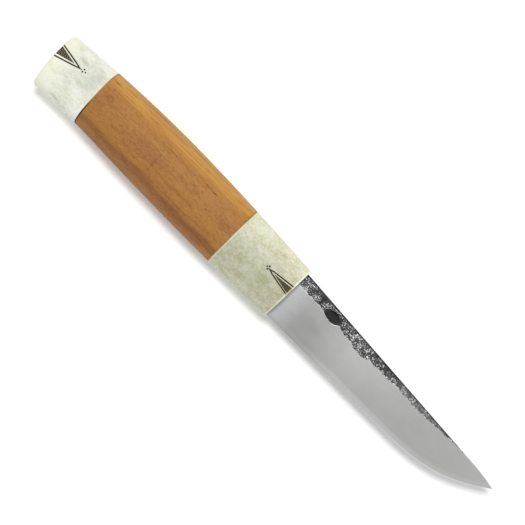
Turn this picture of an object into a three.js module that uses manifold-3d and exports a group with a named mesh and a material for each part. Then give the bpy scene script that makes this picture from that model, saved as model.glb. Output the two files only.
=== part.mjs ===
// A Nordic puukko: a small fixed-blade belt knife with a hidden stick tang.
//
// The forged blade's tang runs through a slotted antler ferrule, a thin fibre liner, a bored wooden grip
// and a second liner, and ends in a blind bore in the antler pommel. A cast resin bedding fills the bores
// round the tang. Both antler pieces carry an arrowhead engraved on each broad side and filled with dark
// pigment.
//
// Units are millimetres. x runs from the butt to the tip, y from the cutting edge to the spine and z through
// the thickness. While the pieces are made, x = 0 is the ferrule's front face and z = 0 is the middle plane.
import * as THREE from "three";
import { mergeVertices } from "three/addons/utils/BufferGeometryUtils.js";
import Module from "manifold-3d";

// ---- Handle: lengths along x, then the outline at five stations ----
const FERRULE_LENGTH = 27.1;
const GRIP_LENGTH = 65.4;
const POMMEL_LENGTH = 19.6;
const LINER_THICKNESS = 0.4;
const GLUE_LINE = 0.05;

// spine and edge are the outline's distances from y = 0 on each side, thick is the full size along z.
const FACE_STATION = { spine: 9.6, edge: 12.4, thick: 15.8 };
const FRONT_JOINT_STATION = { spine: 11.3, edge: 12.7, thick: 18.5 };
const SWELL_STATION = { spine: 12.5, edge: 12.0, thick: 19.9 };
const REAR_JOINT_STATION = { spine: 11.8, edge: 11.1, thick: 18.6 };
const BUTT_STATION = { spine: 10.5, edge: 11.5, thick: 17.4 };
const SWELL_TO_REAR_JOINT = 24;
const GREATEST_THICKNESS = 19.7; // where the broad sides are worked level, so the knife lies steadily

const SECTION_POWER = 2.35; // of the rounded cross-section: 2 is an ellipse, more is squarer
const SECTION_EGG = 0.07; // the share by which the spine half is fuller than the edge half
const SECTION_LEVEL = 0.15; // the share of the width, each way from the middle, that stays level
const SECTION_POINTS = 44;
const FACE_RAKE = THREE.MathUtils.degToRad(1.9); // the ferrule's face leans this far forward at the spine
const BUTT_RAKE = THREE.MathUtils.degToRad(-2.2);
const FACE_ROUNDING = 0.35;
const BUTT_ROUNDING = 0.9;

// ---- Blade ----
const BLADE_LENGTH = 97;
const SPINE_THICKNESS = 4.0;
const HEEL_SPINE_Y = 8.15;
const HEEL_EDGE_Y = -11.65;
const SPINE_SLOPE = 0.0755; // how far the straight back falls for each millimetre towards the tip
const TIP_DROP = 0.75; // by which the back curves down further over its last stretch
const TIP_DROP_LENGTH = 10;
const TIP_Y = 0.0;
const TIP_BLUNTNESS = 0.3;
const BELLY_LENGTH = 42; // the curved stretch of edge behind the tip
const BELLY_Y = -11.95; // the edge's lowest place, where the belly starts
const BELLY_PULL = 23; // how long the belly leaves its start almost straight
const POINT_PULL = { x: 11, y: 7.2 }; // from the tip back to the belly's second handle
const EDGE_BEVEL = 0.6; // height of the narrow sharpened bevel
const EDGE_BEVEL_HALF_THICKNESS = 0.16;
const GRIND_TOP_Y = 1.6; // where the ground flat meets the forged band under the spine
const GRIND_RISE = 2.0; // by which that line climbs at the heel
const GRIND_RISE_LENGTH = 34;
const LEAST_LAND = 0.25; // of forged band left along the spine at the tip

// ---- Tang and the hollows that it passes through ----
// Its section is a wedge, like the blade's: edgeShare is its edge side's share of its spine side's thickness.
const TANG = { y: 0.4, wide: 8.0, thick: 3.2, endWide: 5.0, endThick: 2.6, edgeShare: 0.45 };
const TANG_IN_POMMEL = 12;
const SLOT_CLEARANCE = 0.3;
const GRIP_BORE_RADIUS = 5.0;
const POMMEL_BORE_RADIUS = 3.9;
const POMMEL_BORE_BEYOND_TANG = 2;
const CAST_GAP = 0.1; // left between the bedding and what it was cast against
const BORE_SEGMENTS = 32;

// ---- Engraved arrowheads, filled with pigment ----
const ENGRAVING_DEPTH = 0.3;
const PIGMENT_CLEARANCE = 0.05;
// Each is a chevron of two lines with its feet on the piece's end, round a filled core with its base there.
// y is the middle of the feet or the base, and apexY is the point's height.
const FERRULE_MOTIF = {
  chevron: { y: -0.35, apexY: 0.1, length: 10.3, width: 4.1, line: 0.32 },
  core: { y: -0.45, apexY: 0.0, length: 7.4, width: 2.3 },
};
const POMMEL_MOTIF = {
  chevron: { y: 2.8, apexY: 3.45, length: 10.0, width: 5.2, line: 0.4 },
  core: { y: 2.95, apexY: 3.3, length: 6.6, width: 3.1 },
};

// ---- Materials ----
const material = (color, roughness, metalness = 0) =>
  new THREE.MeshStandardMaterial({ color, roughness, metalness });
const STEEL = material(0xb0b0ae, 0.38, 1.0);
const ANTLER = material(0xd8d8c0, 0.5);
const WOOD = material(0xa8763f, 0.4);
const FIBRE = material(0x2e241a, 0.8);
const RESIN = material(0xb79a5a, 0.3);
const PIGMENT = material(0x3a3028, 0.85);

const wasm = await Module();
wasm.setup();

// A closed three.js geometry as a manifold-3d solid, for joining and cutting.
function toSolid(geometry) {
  const bare = geometry.clone();
  bare.deleteAttribute("normal");
  bare.deleteAttribute("uv");
  const merged = mergeVertices(bare, 1e-4);
  return new wasm.Manifold(
    new wasm.Mesh({
      numProp: 3,
      vertProperties: merged.getAttribute("position").array,
      triVerts: new Uint32Array(merged.index.array),
    }),
  );
}

function toMesh(name, solid, finish) {
  const { vertProperties, triVerts } = solid.getMesh();
  const geometry = new THREE.BufferGeometry();
  geometry.setAttribute("position", new THREE.BufferAttribute(vertProperties, 3));
  geometry.setIndex(new THREE.BufferAttribute(triVerts, 1));
  geometry.computeVertexNormals();
  const mesh = new THREE.Mesh(geometry, finish);
  mesh.name = name;
  return mesh;
}

// Sweeps a flat outline along x. The outline is extruded once with a ring of points at each place, and
// place() then moves every point: it takes the ring and the point's two outline coordinates and returns
// [x, y, z].
function sweep(outline, rings, place) {
  const steps = rings.length - 1;
  const shape = new THREE.Shape(outline);
  const geometry = new THREE.ExtrudeGeometry(shape, { depth: 1, steps, bevelEnabled: false });
  const points = geometry.getAttribute("position");
  for (let i = 0; i < points.count; i += 1) {
    const ring = rings[Math.round(points.getZ(i) * steps)];
    points.setXYZ(i, ...place(ring, points.getX(i), points.getY(i)));
  }
  return toSolid(geometry);
}

// A cylinder along x, from one x to another, on the tang's axis.
function bore(radius, fromX, toX) {
  const cylinder = new THREE.CylinderGeometry(radius, radius, toX - fromX, BORE_SEGMENTS);
  cylinder.rotateZ(Math.PI / 2).translate((fromX + toX) / 2, TANG.y, 0);
  return toSolid(cylinder);
}

// ---- Where the pieces meet, from the face backwards ----
const PIECE_GAP = LINER_THICKNESS + 2 * GLUE_LINE; // a liner and its two glue lines
const ferruleBack = -FERRULE_LENGTH;
const gripFront = ferruleBack - PIECE_GAP;
const gripBack = gripFront - GRIP_LENGTH;
const pommelFront = gripBack - PIECE_GAP;
const butt = pommelFront - POMMEL_LENGTH;
const tangEnd = pommelFront - TANG_IN_POMMEL;

// ---- The handle's body ----
const stations = [
  [butt, BUTT_STATION],
  [gripBack, REAR_JOINT_STATION],
  [gripBack + SWELL_TO_REAR_JOINT, SWELL_STATION],
  [gripFront, FRONT_JOINT_STATION],
  [0, FACE_STATION],
];
const handleOutline = new THREE.CubicInterpolant(
  stations.map(([x]) => x),
  stations.flatMap(([, { spine, edge, thick }]) => [spine, edge, thick]),
  3,
);

// The unit cross-section, one unit each way.
const sectionPoints = Array.from({ length: SECTION_POINTS }, (_, i) => {
  const turn = ((i + 0.5) * 2 * Math.PI) / SECTION_POINTS;
  const squared = (value) => Math.sign(value) * Math.abs(value) ** (2 / SECTION_POWER);
  return new THREE.Vector2(squared(Math.cos(turn)), squared(Math.sin(turn)));
});

// The lean of the cross-section at x, as a slope: it fans evenly from the butt to the face.
function rakeAt(x) {
  return Math.tan(THREE.MathUtils.mapLinear(x, butt, 0, BUTT_RAKE, FACE_RAKE));
}

function placeOnHandle({ x, inset }, across, through) {
  const [spine, edge, fullThickness] = handleOutline.evaluate(x);
  const thickness = Math.min(fullThickness, GREATEST_THICKNESS);
  const middle = (spine - edge) / 2;
  const y = middle + across * ((spine + edge) / 2 - inset);
  const beyondLevel = Math.sign(across) * Math.max(0, Math.abs(across) - SECTION_LEVEL);
  const z = through * (thickness / 2 - inset) * (1 + SECTION_EGG * beyondLevel);
  return [x + y * rakeAt(x), y, z];
}

// A length of the handle's body. Its ends are rounded by the given radii, and inset shrinks it all round.
function handleBody(fromX, toX, { inset = 0, backRounding = 0, frontRounding = 0, spacing = 4 } = {}) {
  const rings = [];
  const rounding = (endX, radius, inwards) => {
    const quarter = [0, 0.35, 0.7, 1].map((share) => (share * Math.PI) / 2);
    return quarter.map((turn) => ({
      x: endX + inwards * radius * (1 - Math.cos(turn)),
      inset: inset + radius * (1 - Math.sin(turn)),
    }));
  };
  if (backRounding) rings.push(...rounding(fromX, backRounding, 1));
  else rings.push({ x: fromX, inset });
  const plainFrom = fromX + backRounding;
  const plainTo = toX - frontRounding;
  const count = Math.max(1, Math.round((plainTo - plainFrom) / spacing));
  for (let i = 1; i < count; i += 1) {
    rings.push({ x: THREE.MathUtils.lerp(plainFrom, plainTo, i / count), inset });
  }
  if (frontRounding) rings.push(...rounding(toX, frontRounding, -1).reverse());
  else rings.push({ x: toX, inset });
  return sweep(sectionPoints, rings, placeOnHandle);
}

// ---- The tang, and the same shape grown for its slot and for the bedding's hollow ----
function tangShape(grow, fromX, toX) {
  const outline = [
    new THREE.Vector2(-1, -1),
    new THREE.Vector2(1, -1),
    new THREE.Vector2(1, 1),
    new THREE.Vector2(-1, 1),
  ];
  const halfSize = (x, atFace, atEnd) => THREE.MathUtils.mapLinear(x, tangEnd, 0, atEnd, atFace) / 2;
  return sweep(outline, [{ x: fromX }, { x: toX }], ({ x }, across, through) => {
    const halfWidth = halfSize(x, TANG.wide, TANG.endWide) + grow;
    const halfThickness = halfSize(x, TANG.thick, TANG.endThick) * (across < 0 ? TANG.edgeShare : 1) + grow;
    return [x, TANG.y + across * halfWidth, through * halfThickness];
  });
}

// ---- The blade ----
const bellyStart = BLADE_LENGTH - BELLY_LENGTH;
const bellyCurve = new THREE.CubicBezierCurve(
  new THREE.Vector2(bellyStart, BELLY_Y),
  new THREE.Vector2(bellyStart + BELLY_PULL, BELLY_Y - 0.35),
  new THREE.Vector2(BLADE_LENGTH - POINT_PULL.x, TIP_Y - POINT_PULL.y),
  new THREE.Vector2(BLADE_LENGTH, TIP_Y),
);

function spineY(x) {
  const curled = Math.max(0, (x - (BLADE_LENGTH - TIP_DROP_LENGTH)) / TIP_DROP_LENGTH);
  return HEEL_SPINE_Y - SPINE_SLOPE * x - TIP_DROP * curled ** 2;
}

function grindTopY(x) {
  const climb = Math.max(0, 1 - x / GRIND_RISE_LENGTH);
  return Math.min(GRIND_TOP_Y + GRIND_RISE * climb ** 2, spineY(x) - LEAST_LAND);
}

const heelGrindHeight = grindTopY(0) - HEEL_EDGE_Y - EDGE_BEVEL;
const grindSlope = (SPINE_THICKNESS / 2 - EDGE_BEVEL_HALF_THICKNESS) / heelGrindHeight;

// The four levels of a blade section, from the edge to the spine, as [y, half thickness].
function bladeLevels(x, edgeY) {
  const top = Math.max(spineY(x), edgeY + TIP_BLUNTNESS);
  const bevel = Math.min(EDGE_BEVEL, 0.35 * (top - edgeY));
  const grind = THREE.MathUtils.clamp(grindTopY(x), edgeY + 1.5 * bevel, top - 0.1 * (top - edgeY));
  const bevelHalf = (EDGE_BEVEL_HALF_THICKNESS * bevel) / EDGE_BEVEL;
  const half = bevelHalf + grindSlope * (grind - edgeY - bevel);
  return [
    [edgeY, 0],
    [edgeY + bevel, bevelHalf],
    [grind, half],
    [top, half],
  ];
}

function bladeSolid() {
  const straight = [0, 2, 6, 12, 20, 30, 42, bellyStart].filter((x) => x <= bellyStart);
  const rings = straight.map((x) => {
    return { x, edgeY: THREE.MathUtils.mapLinear(x, 0, bellyStart, HEEL_EDGE_Y, BELLY_Y) };
  });
  for (const { x, y } of bellyCurve.getPoints(22).slice(1)) rings.push({ x, edgeY: y });
  // Seven corners: the edge, then three levels on each side. The shape only has to be strictly convex here.
  const outline = [
    [0, 0],
    [1, -1],
    [2, -1.5],
    [3, -1.6],
    [3, 1.6],
    [2, 1.5],
    [1, 1],
  ].map(([level, side]) => new THREE.Vector2(level, side));
  const leaningHeel = 15; // the length over which the heel's lean dies out
  const blade = sweep(outline, rings, ({ x, edgeY }, level, side) => {
    const [y, half] = bladeLevels(x, edgeY)[Math.round(level)];
    const lean = Math.tan(FACE_RAKE) * Math.max(0, 1 - x / leaningHeel);
    return [x + GLUE_LINE + y * lean, y, Math.sign(side) * half];
  });
  const shoulderDepth = 1.5; // the tang starts this far inside the blade, so that the two are one forging
  return blade.add(tangShape(0, tangEnd, shoulderDepth));
}

// ---- The engraved arrowhead: a chevron of two lines round a filled core ----
// Both are upright prisms. They start at the piece's end and point along inwards, which is -1 or 1, on the
// broad side that side names, 1 or -1. grow widens them, for the recess.
const PRISM_REACH = 14;

function standUp(shape, side) {
  const prism = new THREE.ExtrudeGeometry(shape, { depth: PRISM_REACH, bevelEnabled: false });
  if (side < 0) prism.translate(0, 0, -PRISM_REACH);
  return toSolid(prism);
}

function line(from, to, width, side) {
  const along = to.clone().sub(from);
  const stroke = new THREE.BoxGeometry(along.length(), width, PRISM_REACH);
  stroke.rotateZ(along.angle());
  stroke.translate((from.x + to.x) / 2, (from.y + to.y) / 2, (side * PRISM_REACH) / 2);
  return toSolid(stroke);
}

function chevron({ y, apexY, length, width, line: lineWidth }, endX, inwards, side, grow) {
  const apex = new THREE.Vector2(endX + inwards * (length - lineWidth), apexY);
  const runOut = 3; // past the piece's end, where the line is cut off flush
  const arms = [-1, 1].map((arm) => {
    const foot = new THREE.Vector2(endX, y + (arm * (width - lineWidth)) / 2);
    const away = foot.clone().sub(apex);
    const start = foot.clone().add(away.clone().setLength(runOut));
    const end = apex.clone().sub(away.clone().setLength(lineWidth / 2 + grow));
    return line(start, end, lineWidth + 2 * grow, side);
  });
  return arms[0].add(arms[1]);
}

function core({ y, apexY, length, width }, endX, inwards, side, grow) {
  const corners = [
    new THREE.Vector2(endX, y - width / 2),
    new THREE.Vector2(endX, y + width / 2),
    new THREE.Vector2(endX + inwards * length, apexY),
  ];
  // A triangle grown by a margin is the same triangle, enlarged about the centre of its inscribed circle.
  const sides = corners.map((_, i) => corners[(i + 1) % 3].distanceTo(corners[(i + 2) % 3]));
  const around = sides[0] + sides[1] + sides[2];
  const centre = new THREE.Vector2();
  corners.forEach((corner, i) => centre.addScaledVector(corner, sides[i] / around));
  const inscribed = (width * length) / around;
  const grown = corners.map((c) => c.clone().sub(centre).multiplyScalar(1 + grow / inscribed).add(centre));
  if (THREE.ShapeUtils.isClockWise(grown)) grown.reverse();
  return standUp(new THREE.Shape(grown), side);
}

// Cuts the four recesses into an antler piece and returns it with the four pigment fillings.
function engrave(name, piece, motif, endX, inwards, [fromX, toX]) {
  const floor = handleBody(fromX - 1, toX + 1, { inset: ENGRAVING_DEPTH });
  const bed = handleBody(fromX - 1, toX + 1, { inset: ENGRAVING_DEPTH - PIGMENT_CLEARANCE });
  const fillings = [];
  let engraved = piece;
  for (const [sideName, side] of [["right", 1], ["left", -1]]) {
    for (const [partName, makePart] of [["chevron", chevron], ["core", core]]) {
      const cutter = makePart(motif[partName], endX, inwards, side, PIGMENT_CLEARANCE);
      const filling = makePart(motif[partName], endX, inwards, side, 0);
      engraved = engraved.subtract(cutter.subtract(floor));
      const inlay = filling.subtract(bed).intersect(piece);
      fillings.push(toMesh(`${name}_${partName}_${sideName}`, inlay, PIGMENT));
    }
  }
  return [engraved, fillings];
}

// ---- The pieces ----
const slot = tangShape(SLOT_CLEARANCE, gripFront - 1, 1);
const gripBore = bore(GRIP_BORE_RADIUS, gripBack - 1, gripFront + 1);
const pommelBoreEnd = tangEnd - POMMEL_BORE_BEYOND_TANG;
const pommelBore = bore(POMMEL_BORE_RADIUS, pommelBoreEnd, gripBack + 1);

const ferruleBlank = handleBody(ferruleBack, 0, { frontRounding: FACE_ROUNDING }).subtract(slot);
const pommelBlank = handleBody(butt, pommelFront, { backRounding: BUTT_ROUNDING }).subtract(pommelBore);
const [ferrule, ferrulePigment] = engrave("ferrule", ferruleBlank, FERRULE_MOTIF, 0, -1, [ferruleBack, 0]);
const [pommel, pommelPigment] = engrave("pommel", pommelBlank, POMMEL_MOTIF, butt, 1, [butt, pommelFront]);

const grip = handleBody(gripBack, gripFront).subtract(gripBore);
const frontLiner = handleBody(gripFront + GLUE_LINE, ferruleBack - GLUE_LINE).subtract(slot);
const rearLiner = handleBody(pommelFront + GLUE_LINE, gripBack - GLUE_LINE).subtract(pommelBore);

function beddingSolid() {
  const inGrip = bore(GRIP_BORE_RADIUS - CAST_GAP, gripBack + CAST_GAP, gripFront - CAST_GAP);
  const inPommel = bore(POMMEL_BORE_RADIUS - CAST_GAP, pommelBoreEnd + CAST_GAP, gripBack + 1);
  return inGrip.add(inPommel).subtract(tangShape(CAST_GAP, tangEnd - CAST_GAP, gripFront + 1));
}

const knife = new THREE.Group();
knife.add(
  toMesh("blade", bladeSolid(), STEEL),
  toMesh("front_ferrule", ferrule, ANTLER),
  toMesh("front_liner", frontLiner, FIBRE),
  toMesh("wood_grip", grip, WOOD),
  toMesh("rear_liner", rearLiner, FIBRE),
  toMesh("pommel", pommel, ANTLER),
  toMesh("tang_bedding", beddingSolid(), RESIN),
  ...ferrulePigment,
  ...pommelPigment,
);

// The knife lies on its broad side, and the origin is under the middle of its bounding box.
const extent = new THREE.Box3().setFromObject(knife);
const middle = extent.getCenter(new THREE.Vector3());
knife.position.set(-middle.x, -middle.y, -extent.min.z);

const root = new THREE.Group();
root.add(knife);
export default root;
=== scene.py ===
# %% [markdown]
# # A Nordic puukko
#
# This lesson gives a packed knife its looks. The knife is a puukko: a forged blade whose hidden tang is bedded in a
# waxed wooden grip between two pieces of reindeer antler. The frame brings plain solids that are the right size
# and in the right place. Each visible solid is replaced here by a finer mesh with its own finish.

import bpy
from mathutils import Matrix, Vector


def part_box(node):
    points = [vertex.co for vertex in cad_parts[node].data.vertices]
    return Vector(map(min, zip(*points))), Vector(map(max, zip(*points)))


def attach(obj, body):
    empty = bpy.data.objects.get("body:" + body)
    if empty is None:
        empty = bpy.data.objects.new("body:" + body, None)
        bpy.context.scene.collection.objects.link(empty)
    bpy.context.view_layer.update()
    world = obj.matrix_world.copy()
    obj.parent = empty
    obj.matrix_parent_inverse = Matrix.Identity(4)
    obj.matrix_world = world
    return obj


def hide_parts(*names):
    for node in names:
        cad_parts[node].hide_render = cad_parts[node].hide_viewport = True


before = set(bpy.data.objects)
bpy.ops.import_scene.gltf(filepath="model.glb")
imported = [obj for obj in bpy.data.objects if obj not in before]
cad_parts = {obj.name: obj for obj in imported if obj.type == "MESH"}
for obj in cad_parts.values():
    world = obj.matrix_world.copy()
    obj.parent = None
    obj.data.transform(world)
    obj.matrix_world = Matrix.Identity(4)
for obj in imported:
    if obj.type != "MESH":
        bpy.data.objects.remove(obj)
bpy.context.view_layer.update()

import math

import bmesh
import bpy
import numpy as np
from mathutils import Vector, noise

# %% [markdown]
# ## Where the knife lies
#
# The frame is in metres, with its origin under the middle of the knife. A maker measures from the ferrule's front
# face and from the knife's middle plane instead, in millimetres, so the pieces are made in that knife space: x runs
# to the tip, y to the spine, and z through the thickness. The blade's own box ties the two together.

# %% Knife space and frame space
MM = 0.001
BLADE_REACH = 97.05  # from the ferrule's face to the tip
HEEL_SPINE_Y = 8.15

blade_low, blade_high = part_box("blade")
knife_origin = np.array([
    blade_high.x - BLADE_REACH * MM,
    blade_high.y - HEEL_SPINE_Y * MM,
    (blade_low.z + blade_high.z) / 2,
])


def to_frame(points):
    """Turns knife-space millimetres into the frame's metres."""
    return np.asarray(points, float) * MM + knife_origin


print("the ferrule's face is at", to_frame([0, 0, 0]).round(5))

# %% [markdown]
# ## Meshes from rings
#
# Handle pieces and blade are all long bodies whose cross-section changes slowly. They could be modelled by hand,
# but a stack of rings is easier to keep true: every ring has the same number of points, and neighbours are joined
# with quads. A hollow piece is a stack that goes up the outside, in at one end and back through its bore. A solid
# end is a stack of shrinking rings that finishes in one point.

# %% A skin over a stack of rings
SHARP_ANGLE = math.radians(38)  # edges that fold more than this stay crisp


def finish_mesh(mesh, sharp=SHARP_ANGLE):
    """Shades a mesh smooth, except over its sharp edges."""
    mesh.shade_smooth()
    mesh.set_sharp_from_angle(angle=sharp)


def new_object(name, data):
    made = bpy.data.objects.new(name, data)
    bpy.context.collection.objects.link(made)
    return made


def object_from(name, points, faces, values=None):
    """Makes an object from knife-space points, with optional named values on its points."""
    mesh = bpy.data.meshes.new(name)
    mesh.from_pydata(to_frame(points).tolist(), [], [list(face) for face in faces])
    for key, numbers in (values or {}).items():
        layer = mesh.attributes.new(key, "FLOAT", "POINT")
        layer.data.foreach_set("value", np.asarray(numbers, np.float32).ravel())
    shape = bmesh.new()
    shape.from_mesh(mesh)
    if shape.calc_volume(signed=True) < 0:
        bmesh.ops.reverse_faces(shape, faces=shape.faces)
    volume = shape.calc_volume() / MM**3
    shape.to_mesh(mesh)
    shape.free()
    finish_mesh(mesh)
    print(f"{name}: {len(mesh.polygons)} faces, {volume:.1f} cubic millimetres")
    return new_object(name, mesh)


def skin(name, rings, looped=False, values=None):
    """Joins rings of points, an array of ring, point and coordinate, into one closed object."""
    count, around, _ = rings.shape
    first = np.arange(count if looped else count - 1)[:, None] * around
    step = np.arange(around)[None, :]
    following = (first + around) % (count * around)
    after = (step + 1) % around
    corners = [first + step, first + after, following + after, following + step]
    quads = np.stack(corners, -1).reshape(-1, 4).tolist()
    points = rings.reshape(-1, 3)
    values = {key: np.asarray(numbers).reshape(-1) for key, numbers in (values or {}).items()}
    if not looped:
        for ring, turn in ((0, 1), (count - 1, -1)):
            pole = len(points)
            points = np.vstack([points, rings[ring].mean(0)])
            values = {key: np.append(numbers, numbers[ring * around]) for key, numbers in values.items()}
            rim = ring * around + np.arange(around)
            quads += [[pole, b, a][::turn] for a, b in zip(rim.tolist(), np.roll(rim, -1).tolist())]
    return object_from(name, points, quads, values)


print("rings are joined into skins")

# %% [markdown]
# ## The handle's outline
#
# A puukko handle is shaped with a knife and a rasp until it fills the hand: widest behind the middle, narrower at
# the face and the butt. Five stations carry that outline, and a smooth curve runs through them. The cross-section
# is a rounded oval, squarer than an ellipse and a little fuller on the spine side.

# %% The outline and the cross-section
FERRULE_LENGTH = 27.1
GRIP_LENGTH = 65.4
POMMEL_LENGTH = 19.6
JOINT = 0.5  # a liner with its glue lines
SECTION_POWER = 2.35  # 2 would be an ellipse, and more is squarer
SECTION_EGG = 0.07  # how much fuller the section is towards the spine than towards the edge
SECTION_LEVEL = 0.15  # no such fullness within this share of the half height, so the sides are level there
GREATEST_THICKNESS = 19.7  # the broad sides are worked level here, so the knife lies steadily
FACE_ROUNDING = 0.35
BUTT_ROUNDING = 0.9

grip_front = -FERRULE_LENGTH - JOINT
grip_back = grip_front - GRIP_LENGTH
pommel_front = grip_back - JOINT
butt = pommel_front - POMMEL_LENGTH
face_rake, butt_rake = math.radians(1.9), math.radians(-2.2)

# Each station: its place, its reach towards the spine and towards the edge, and its thickness.
STATIONS = [
    (butt, 10.5, 11.5, 17.4),
    (grip_back, 11.8, 11.1, 18.6),
    (grip_back + 24, 12.5, 12.0, 19.9),
    (grip_front, 11.3, 12.7, 18.5),
    (0.0, 9.6, 12.4, 15.8),
]


def curve_through(places, heights):
    """A smooth curve through the given points, as a function of place."""
    places, heights = np.array(places, float), np.array(heights, float)
    slopes = np.gradient(heights, places)

    def at(x):
        x = np.clip(x, places[0], places[-1])
        i = np.clip(np.searchsorted(places, x) - 1, 0, len(places) - 2)
        span = places[i + 1] - places[i]
        t = (x - places[i]) / span
        rise = heights[i] * (1 + 2 * t) + slopes[i] * span * t
        fall = heights[i + 1] * (3 - 2 * t) + slopes[i + 1] * span * (t - 1)
        return rise * (1 - t) ** 2 + fall * t**2

    return at


spine_side, edge_side, full_thickness = (
    curve_through([s[0] for s in STATIONS], [s[column] for s in STATIONS]) for column in (1, 2, 3)
)


def section(x):
    """The handle's half height, the height of its middle and its thickness at x."""
    spine, edge = spine_side(x), edge_side(x)
    return (spine + edge) / 2, (spine - edge) / 2, np.minimum(full_thickness(x), GREATEST_THICKNESS)


def fullness(across):
    """How much thicker the section is at a height than a plain rounded oval."""
    return 1 + SECTION_EGG * (np.sign(across) * np.maximum(0, abs(across) - SECTION_LEVEL))


def rounded(angle, power):
    """A point on the unit cross-section at an angle from the spine: across, then through."""
    across, through = np.cos(angle), np.sin(angle)
    return np.sign(across) * abs(across) ** (2 / power), np.sign(through) * abs(through) ** (2 / power)


def lean(x):
    """How far the cross-section leans forward at x, for each millimetre towards the spine."""
    return np.tan(butt_rake + (x - butt) / -butt * (face_rake - butt_rake))


def handle_point(x, across, through, inset=0.0):
    """The handle's surface in knife space, shrunk all round by inset."""
    half, middle, thickness = section(x)
    y = middle + across * (half - inset)
    z = through * (thickness / 2 - inset) * fullness(across)
    return np.stack(np.broadcast_arrays(x + y * lean(x), y, z), -1)


def end_inset(x):
    """How far the rounding of the butt and of the ferrule's face has drawn the surface in at x."""
    inset = np.zeros_like(x)
    for radius, depth in ((FACE_ROUNDING, -x), (BUTT_ROUNDING, x - butt)):
        short = np.clip(radius - depth, 0, radius)
        inset = inset + radius - np.sqrt(radius**2 - short**2)
    return inset


def surface_height(x, y):
    """How high the handle's surface stands above the middle plane at x and y."""
    x = np.asarray(x, float)
    x = x - y * lean(x)
    half, middle, thickness = section(x)
    across = (y - middle) / (half - end_inset(x))
    through = (1 - abs(across) ** SECTION_POWER) ** (1 / SECTION_POWER)
    return through * (thickness / 2 - end_inset(x)) * fullness(across)


widest = max(float(spine_side(x) + edge_side(x)) for x in range(-110, 0))
print("handle length:", -butt, "widest:", round(widest, 2))

# %% [markdown]
# ## The engraved arrowheads
#
# Each antler piece has a small arrowhead cut into its broad sides: a chevron of two lines with a hatched core, and
# a diamond of drilled dots at the point. Dark pigment is rubbed in and the surface wiped clean. The recess could be
# a Boolean cut, but that leaves ragged shading, so the antler's own mesh is made fine round the arrowhead and its
# points are pushed in wherever the pattern says. The pattern is a distance: below zero means inside a cut.

# %% The pattern as a distance
ENGRAVING_DEPTH = 0.24
WALL = 0.07  # the width over which a cut's wall falls
OVERRUN = 1.2  # the lines run on past their feet, over the piece's end
FAR_AWAY = 9.0


class Arrowhead:
    """An engraved arrowhead. x is measured from the piece's end inwards, and y is the knife's own.

    chevron: the y of its foot and of its apex, its length, its width at the foot, and the width of its lines
    knee: how far down the arms from the apex the lines bend, as a share, and how far they bow out there
    core: the y of its base and of its point, its length and its width
    """

    def __init__(self, end, inwards, chevron, knee, core, dots, dot_radius):
        self.end, self.inwards = end, inwards
        self.knee_share, self.bow = knee
        self.foot_y, self.apex_y, self.length, self.width, self.line = chevron
        self.core_y, self.core_apex_y, self.core_length, self.core_width = core
        self.dots, self.dot_radius = dots, dot_radius

    def knife_x(self, along):
        return self.end + self.inwards * along

    def apex(self):
        return np.array([self.length - self.line, self.apex_y])

    def arms(self):
        """Each line's foot, knee and apex. A hand-cut line leaves the apex steeply, then runs nearly straight."""
        half = (self.width - self.line) / 2
        arms = []
        for side in (-1, 1):
            foot = np.array([0.0, self.foot_y + side * half])
            knee = self.apex() + (foot - self.apex()) * self.knee_share + [0.0, side * self.bow]
            arms.append((foot, knee, self.apex()))
        return arms

    def core_corners(self):
        half = self.core_width / 2
        return np.array([
            [0.0, self.core_y - half],
            [self.core_length, self.core_apex_y],
            [0.0, self.core_y + half],
        ])

    def dot_places(self):
        return [np.array([self.length, self.apex_y]) + dot for dot in np.array(self.dots, float)]

    def distance(self, x, y):
        """Distance in millimetres to the nearest cut, less than zero inside one."""
        point = np.stack([(x - self.end) * self.inwards, y], -1)
        nearest = np.full(point.shape[:-1], FAR_AWAY)
        for foot, knee, apex in self.arms():
            for start, stop, overrun in ((apex, knee, 1.0), (knee, foot, OVERRUN)):
                away = stop - start
                share = np.clip(((point - start) @ away) / (away @ away), 0, overrun)
                gap = np.linalg.norm(point - start - share[..., None] * away, axis=-1)
                nearest = np.minimum(nearest, gap - self.line / 2)
        corners = self.core_corners()
        core = np.full(point.shape[:-1], -FAR_AWAY)
        for a, b in ((corners[0], corners[1]), (corners[1], corners[2])):
            side = b - a
            outward = np.array([side[1], -side[0]]) / np.linalg.norm(side)
            core = np.maximum(core, (point - a) @ outward)
        nearest = np.minimum(nearest, core)
        for dot in self.dot_places():
            nearest = np.minimum(nearest, np.linalg.norm(point - dot, axis=-1) - self.dot_radius)
        return nearest


ferrule_arrow = Arrowhead(
    end=0.0,
    inwards=-1,
    chevron=(-0.3, 0.12, 10.6, 4.15, 0.4),
    knee=(0.13, 0.2),
    core=(-0.42, 0.0, 8.0, 2.45),
    dots=[(0.4, 0.72), (0.45, -0.46), (1.05, 0.16)],
    dot_radius=0.32,
)
pommel_arrow = Arrowhead(
    end=butt,
    inwards=1,
    chevron=(2.85, 3.45, 10.2, 5.3, 0.46),
    knee=(0.3, 0.08),
    core=(3.05, 3.25, 7.1, 3.3),
    dots=[(0.85, 0.76), (0.85, -0.27), (1.8, 0.26)],
    dot_radius=0.29,
)
print("arrowheads:", ferrule_arrow.length, "and", pommel_arrow.length, "millimetres long")

# %% [markdown]
# ## Antler ferrule and pommel
#
# Each is a short length of antler, slotted or drilled for the tang, glued on and shaped with the grip. A displaced
# plane would have the detail but no inside, so each is a skin of rings. The rings and their points are crowded
# together round the arrowhead, where the cuts need them, and are sparse elsewhere.

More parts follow.
